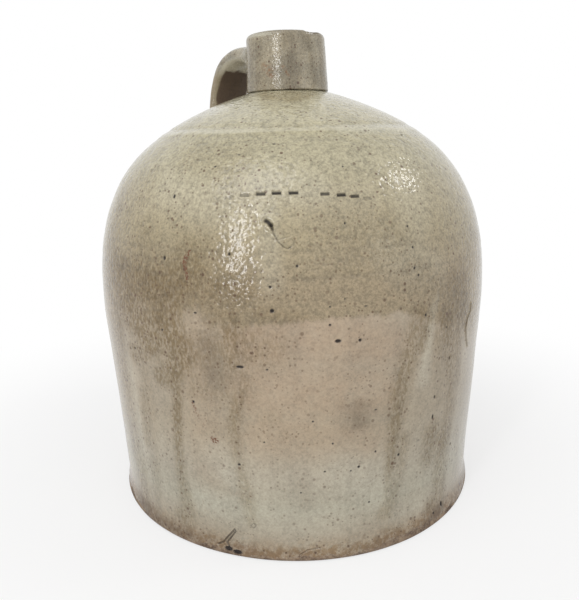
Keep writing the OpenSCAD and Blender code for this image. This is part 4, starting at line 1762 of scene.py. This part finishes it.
def make_lining():
    """The lining follows the swell of the foot and the lean of the neck, and has no relief of its own."""
    lining = spun(lining_profile(), lining_sides, False)
    lining.verts.layers.float_vector.remove(lining.verts.layers.float_vector["skin_out"])
    swell_foot(lining, places_of(lining))
    lean(lining)
    piece_of(lining, "fired_lining", "slip_lining", slip_material())


def make_handle():
    glaze = handle_material()
    piece_of(strap_mesh(), "fired_strap", "strap_handle", glaze, handle_sharp)
    piece_of(roll_mesh(0), "fired_upper_roll", "upper_handle_roll", glaze, handle_sharp)
    piece_of(roll_mesh(1), "fired_lower_roll", "lower_handle_roll", glaze, handle_sharp)


make_body()
make_neck()
make_lining()
make_handle()


# Floor, light and camera


def direction(side, up):
    """Direction in the frame's axes: degrees from the camera to its right, and degrees over the floor."""
    a, e = math.radians(side), math.radians(up)
    plain = Vector((math.sin(a) * math.cos(e), -math.cos(a) * math.cos(e), math.sin(e)))
    return Matrix.Rotation(math.radians(view_turn), 3, "Z") @ plain


def lamp(name, side, up, away, width, height, watts, shape_name="RECTANGLE"):
    data = bpy.data.lights.new(name, "AREA")
    data.shape = shape_name
    data.energy = watts
    data.size = width
    data.size_y = height
    made = bpy.data.objects.new(name, data)
    out = direction(side, up)
    made.location = lamp_aim + out * away
    made.rotation_euler = out.to_track_quat("Z", "Y").to_euler()
    bpy.context.scene.collection.objects.link(made)


def light_paths(s):
    """1 for rays that see the background itself or its reflection."""
    paths = s.node("ShaderNodeLightPath").outputs
    return s.most(s.most(paths["Is Camera Ray"], paths["Is Glossy Ray"]), paths["Is Transmission Ray"])


def make_world():
    world = bpy.data.worlds.new("studio")
    world.use_nodes = True
    bpy.context.scene.world = world
    s = Shading(world.node_tree)
    background = world.node_tree.nodes["Background"]
    seen = light_paths(s)
    background.inputs["Color"].default_value = (1, 1, 1, 1)
    s.wire(background.inputs["Strength"], s.scaled(seen, 1 - fill_level, fill_level))


def make_floor():
    bm = bmesh.new()
    bmesh.ops.create_circle(bm, segments=floor_sides, radius=floor_reach, cap_ends=True)
    mesh = bpy.data.meshes.new("studio_floor")
    bm.to_mesh(mesh)
    bm.free()
    floor = bpy.data.objects.new("studio_floor", mesh)
    floor.location.z = -floor_drop
    bpy.context.scene.collection.objects.link(floor)
    material = bpy.data.materials.new("pale_floor")
    material.use_nodes = True
    s = Shading(material.node_tree)
    nodes = material.node_tree.nodes
    plain = nodes["Principled BSDF"]
    plain.inputs["Base Color"].default_value = floor_colour
    plain.inputs["Roughness"].default_value = floor_roughness
    plain.inputs["Specular IOR Level"].default_value = floor_specular
    glow = s.node("ShaderNodeEmission", {"Color": (1, 1, 1, 1), "Strength": 1.0})
    place = s.node("ShaderNodeTexCoord").outputs["Object"]
    away = s.node("ShaderNodeVectorMath", {0: place}, operation="LENGTH").outputs["Value"]
    far = s.step(away, *shadow_fade, floor_glow, 1.0)
    share = s.times(light_paths(s), far)
    mixed = s.node("ShaderNodeMixShader", {0: share, 1: plain.outputs[0], 2: glow.outputs[0]})
    s.wire(nodes["Material Output"].inputs["Surface"], mixed.outputs[0])
    mesh.materials.append(material)


def make_camera():
    data = bpy.data.cameras.new("photo_camera")
    data.lens = focal_pixels / photo_height * sensor_width
    data.sensor_width = sensor_width
    data.sensor_fit = "AUTO"
    camera = bpy.data.objects.new("photo_camera", data)
    axes = Matrix((camera_right, -camera_down, -camera_forward)).transposed()
    camera.matrix_world = Matrix.Translation(camera_place) @ axes.to_4x4()
    bpy.context.scene.collection.objects.link(camera)
    bpy.context.scene.camera = camera


make_world()
make_floor()
for entry in lamps:
    lamp(*entry)
make_camera()
bpy.context.scene.view_settings.view_transform = "Standard"
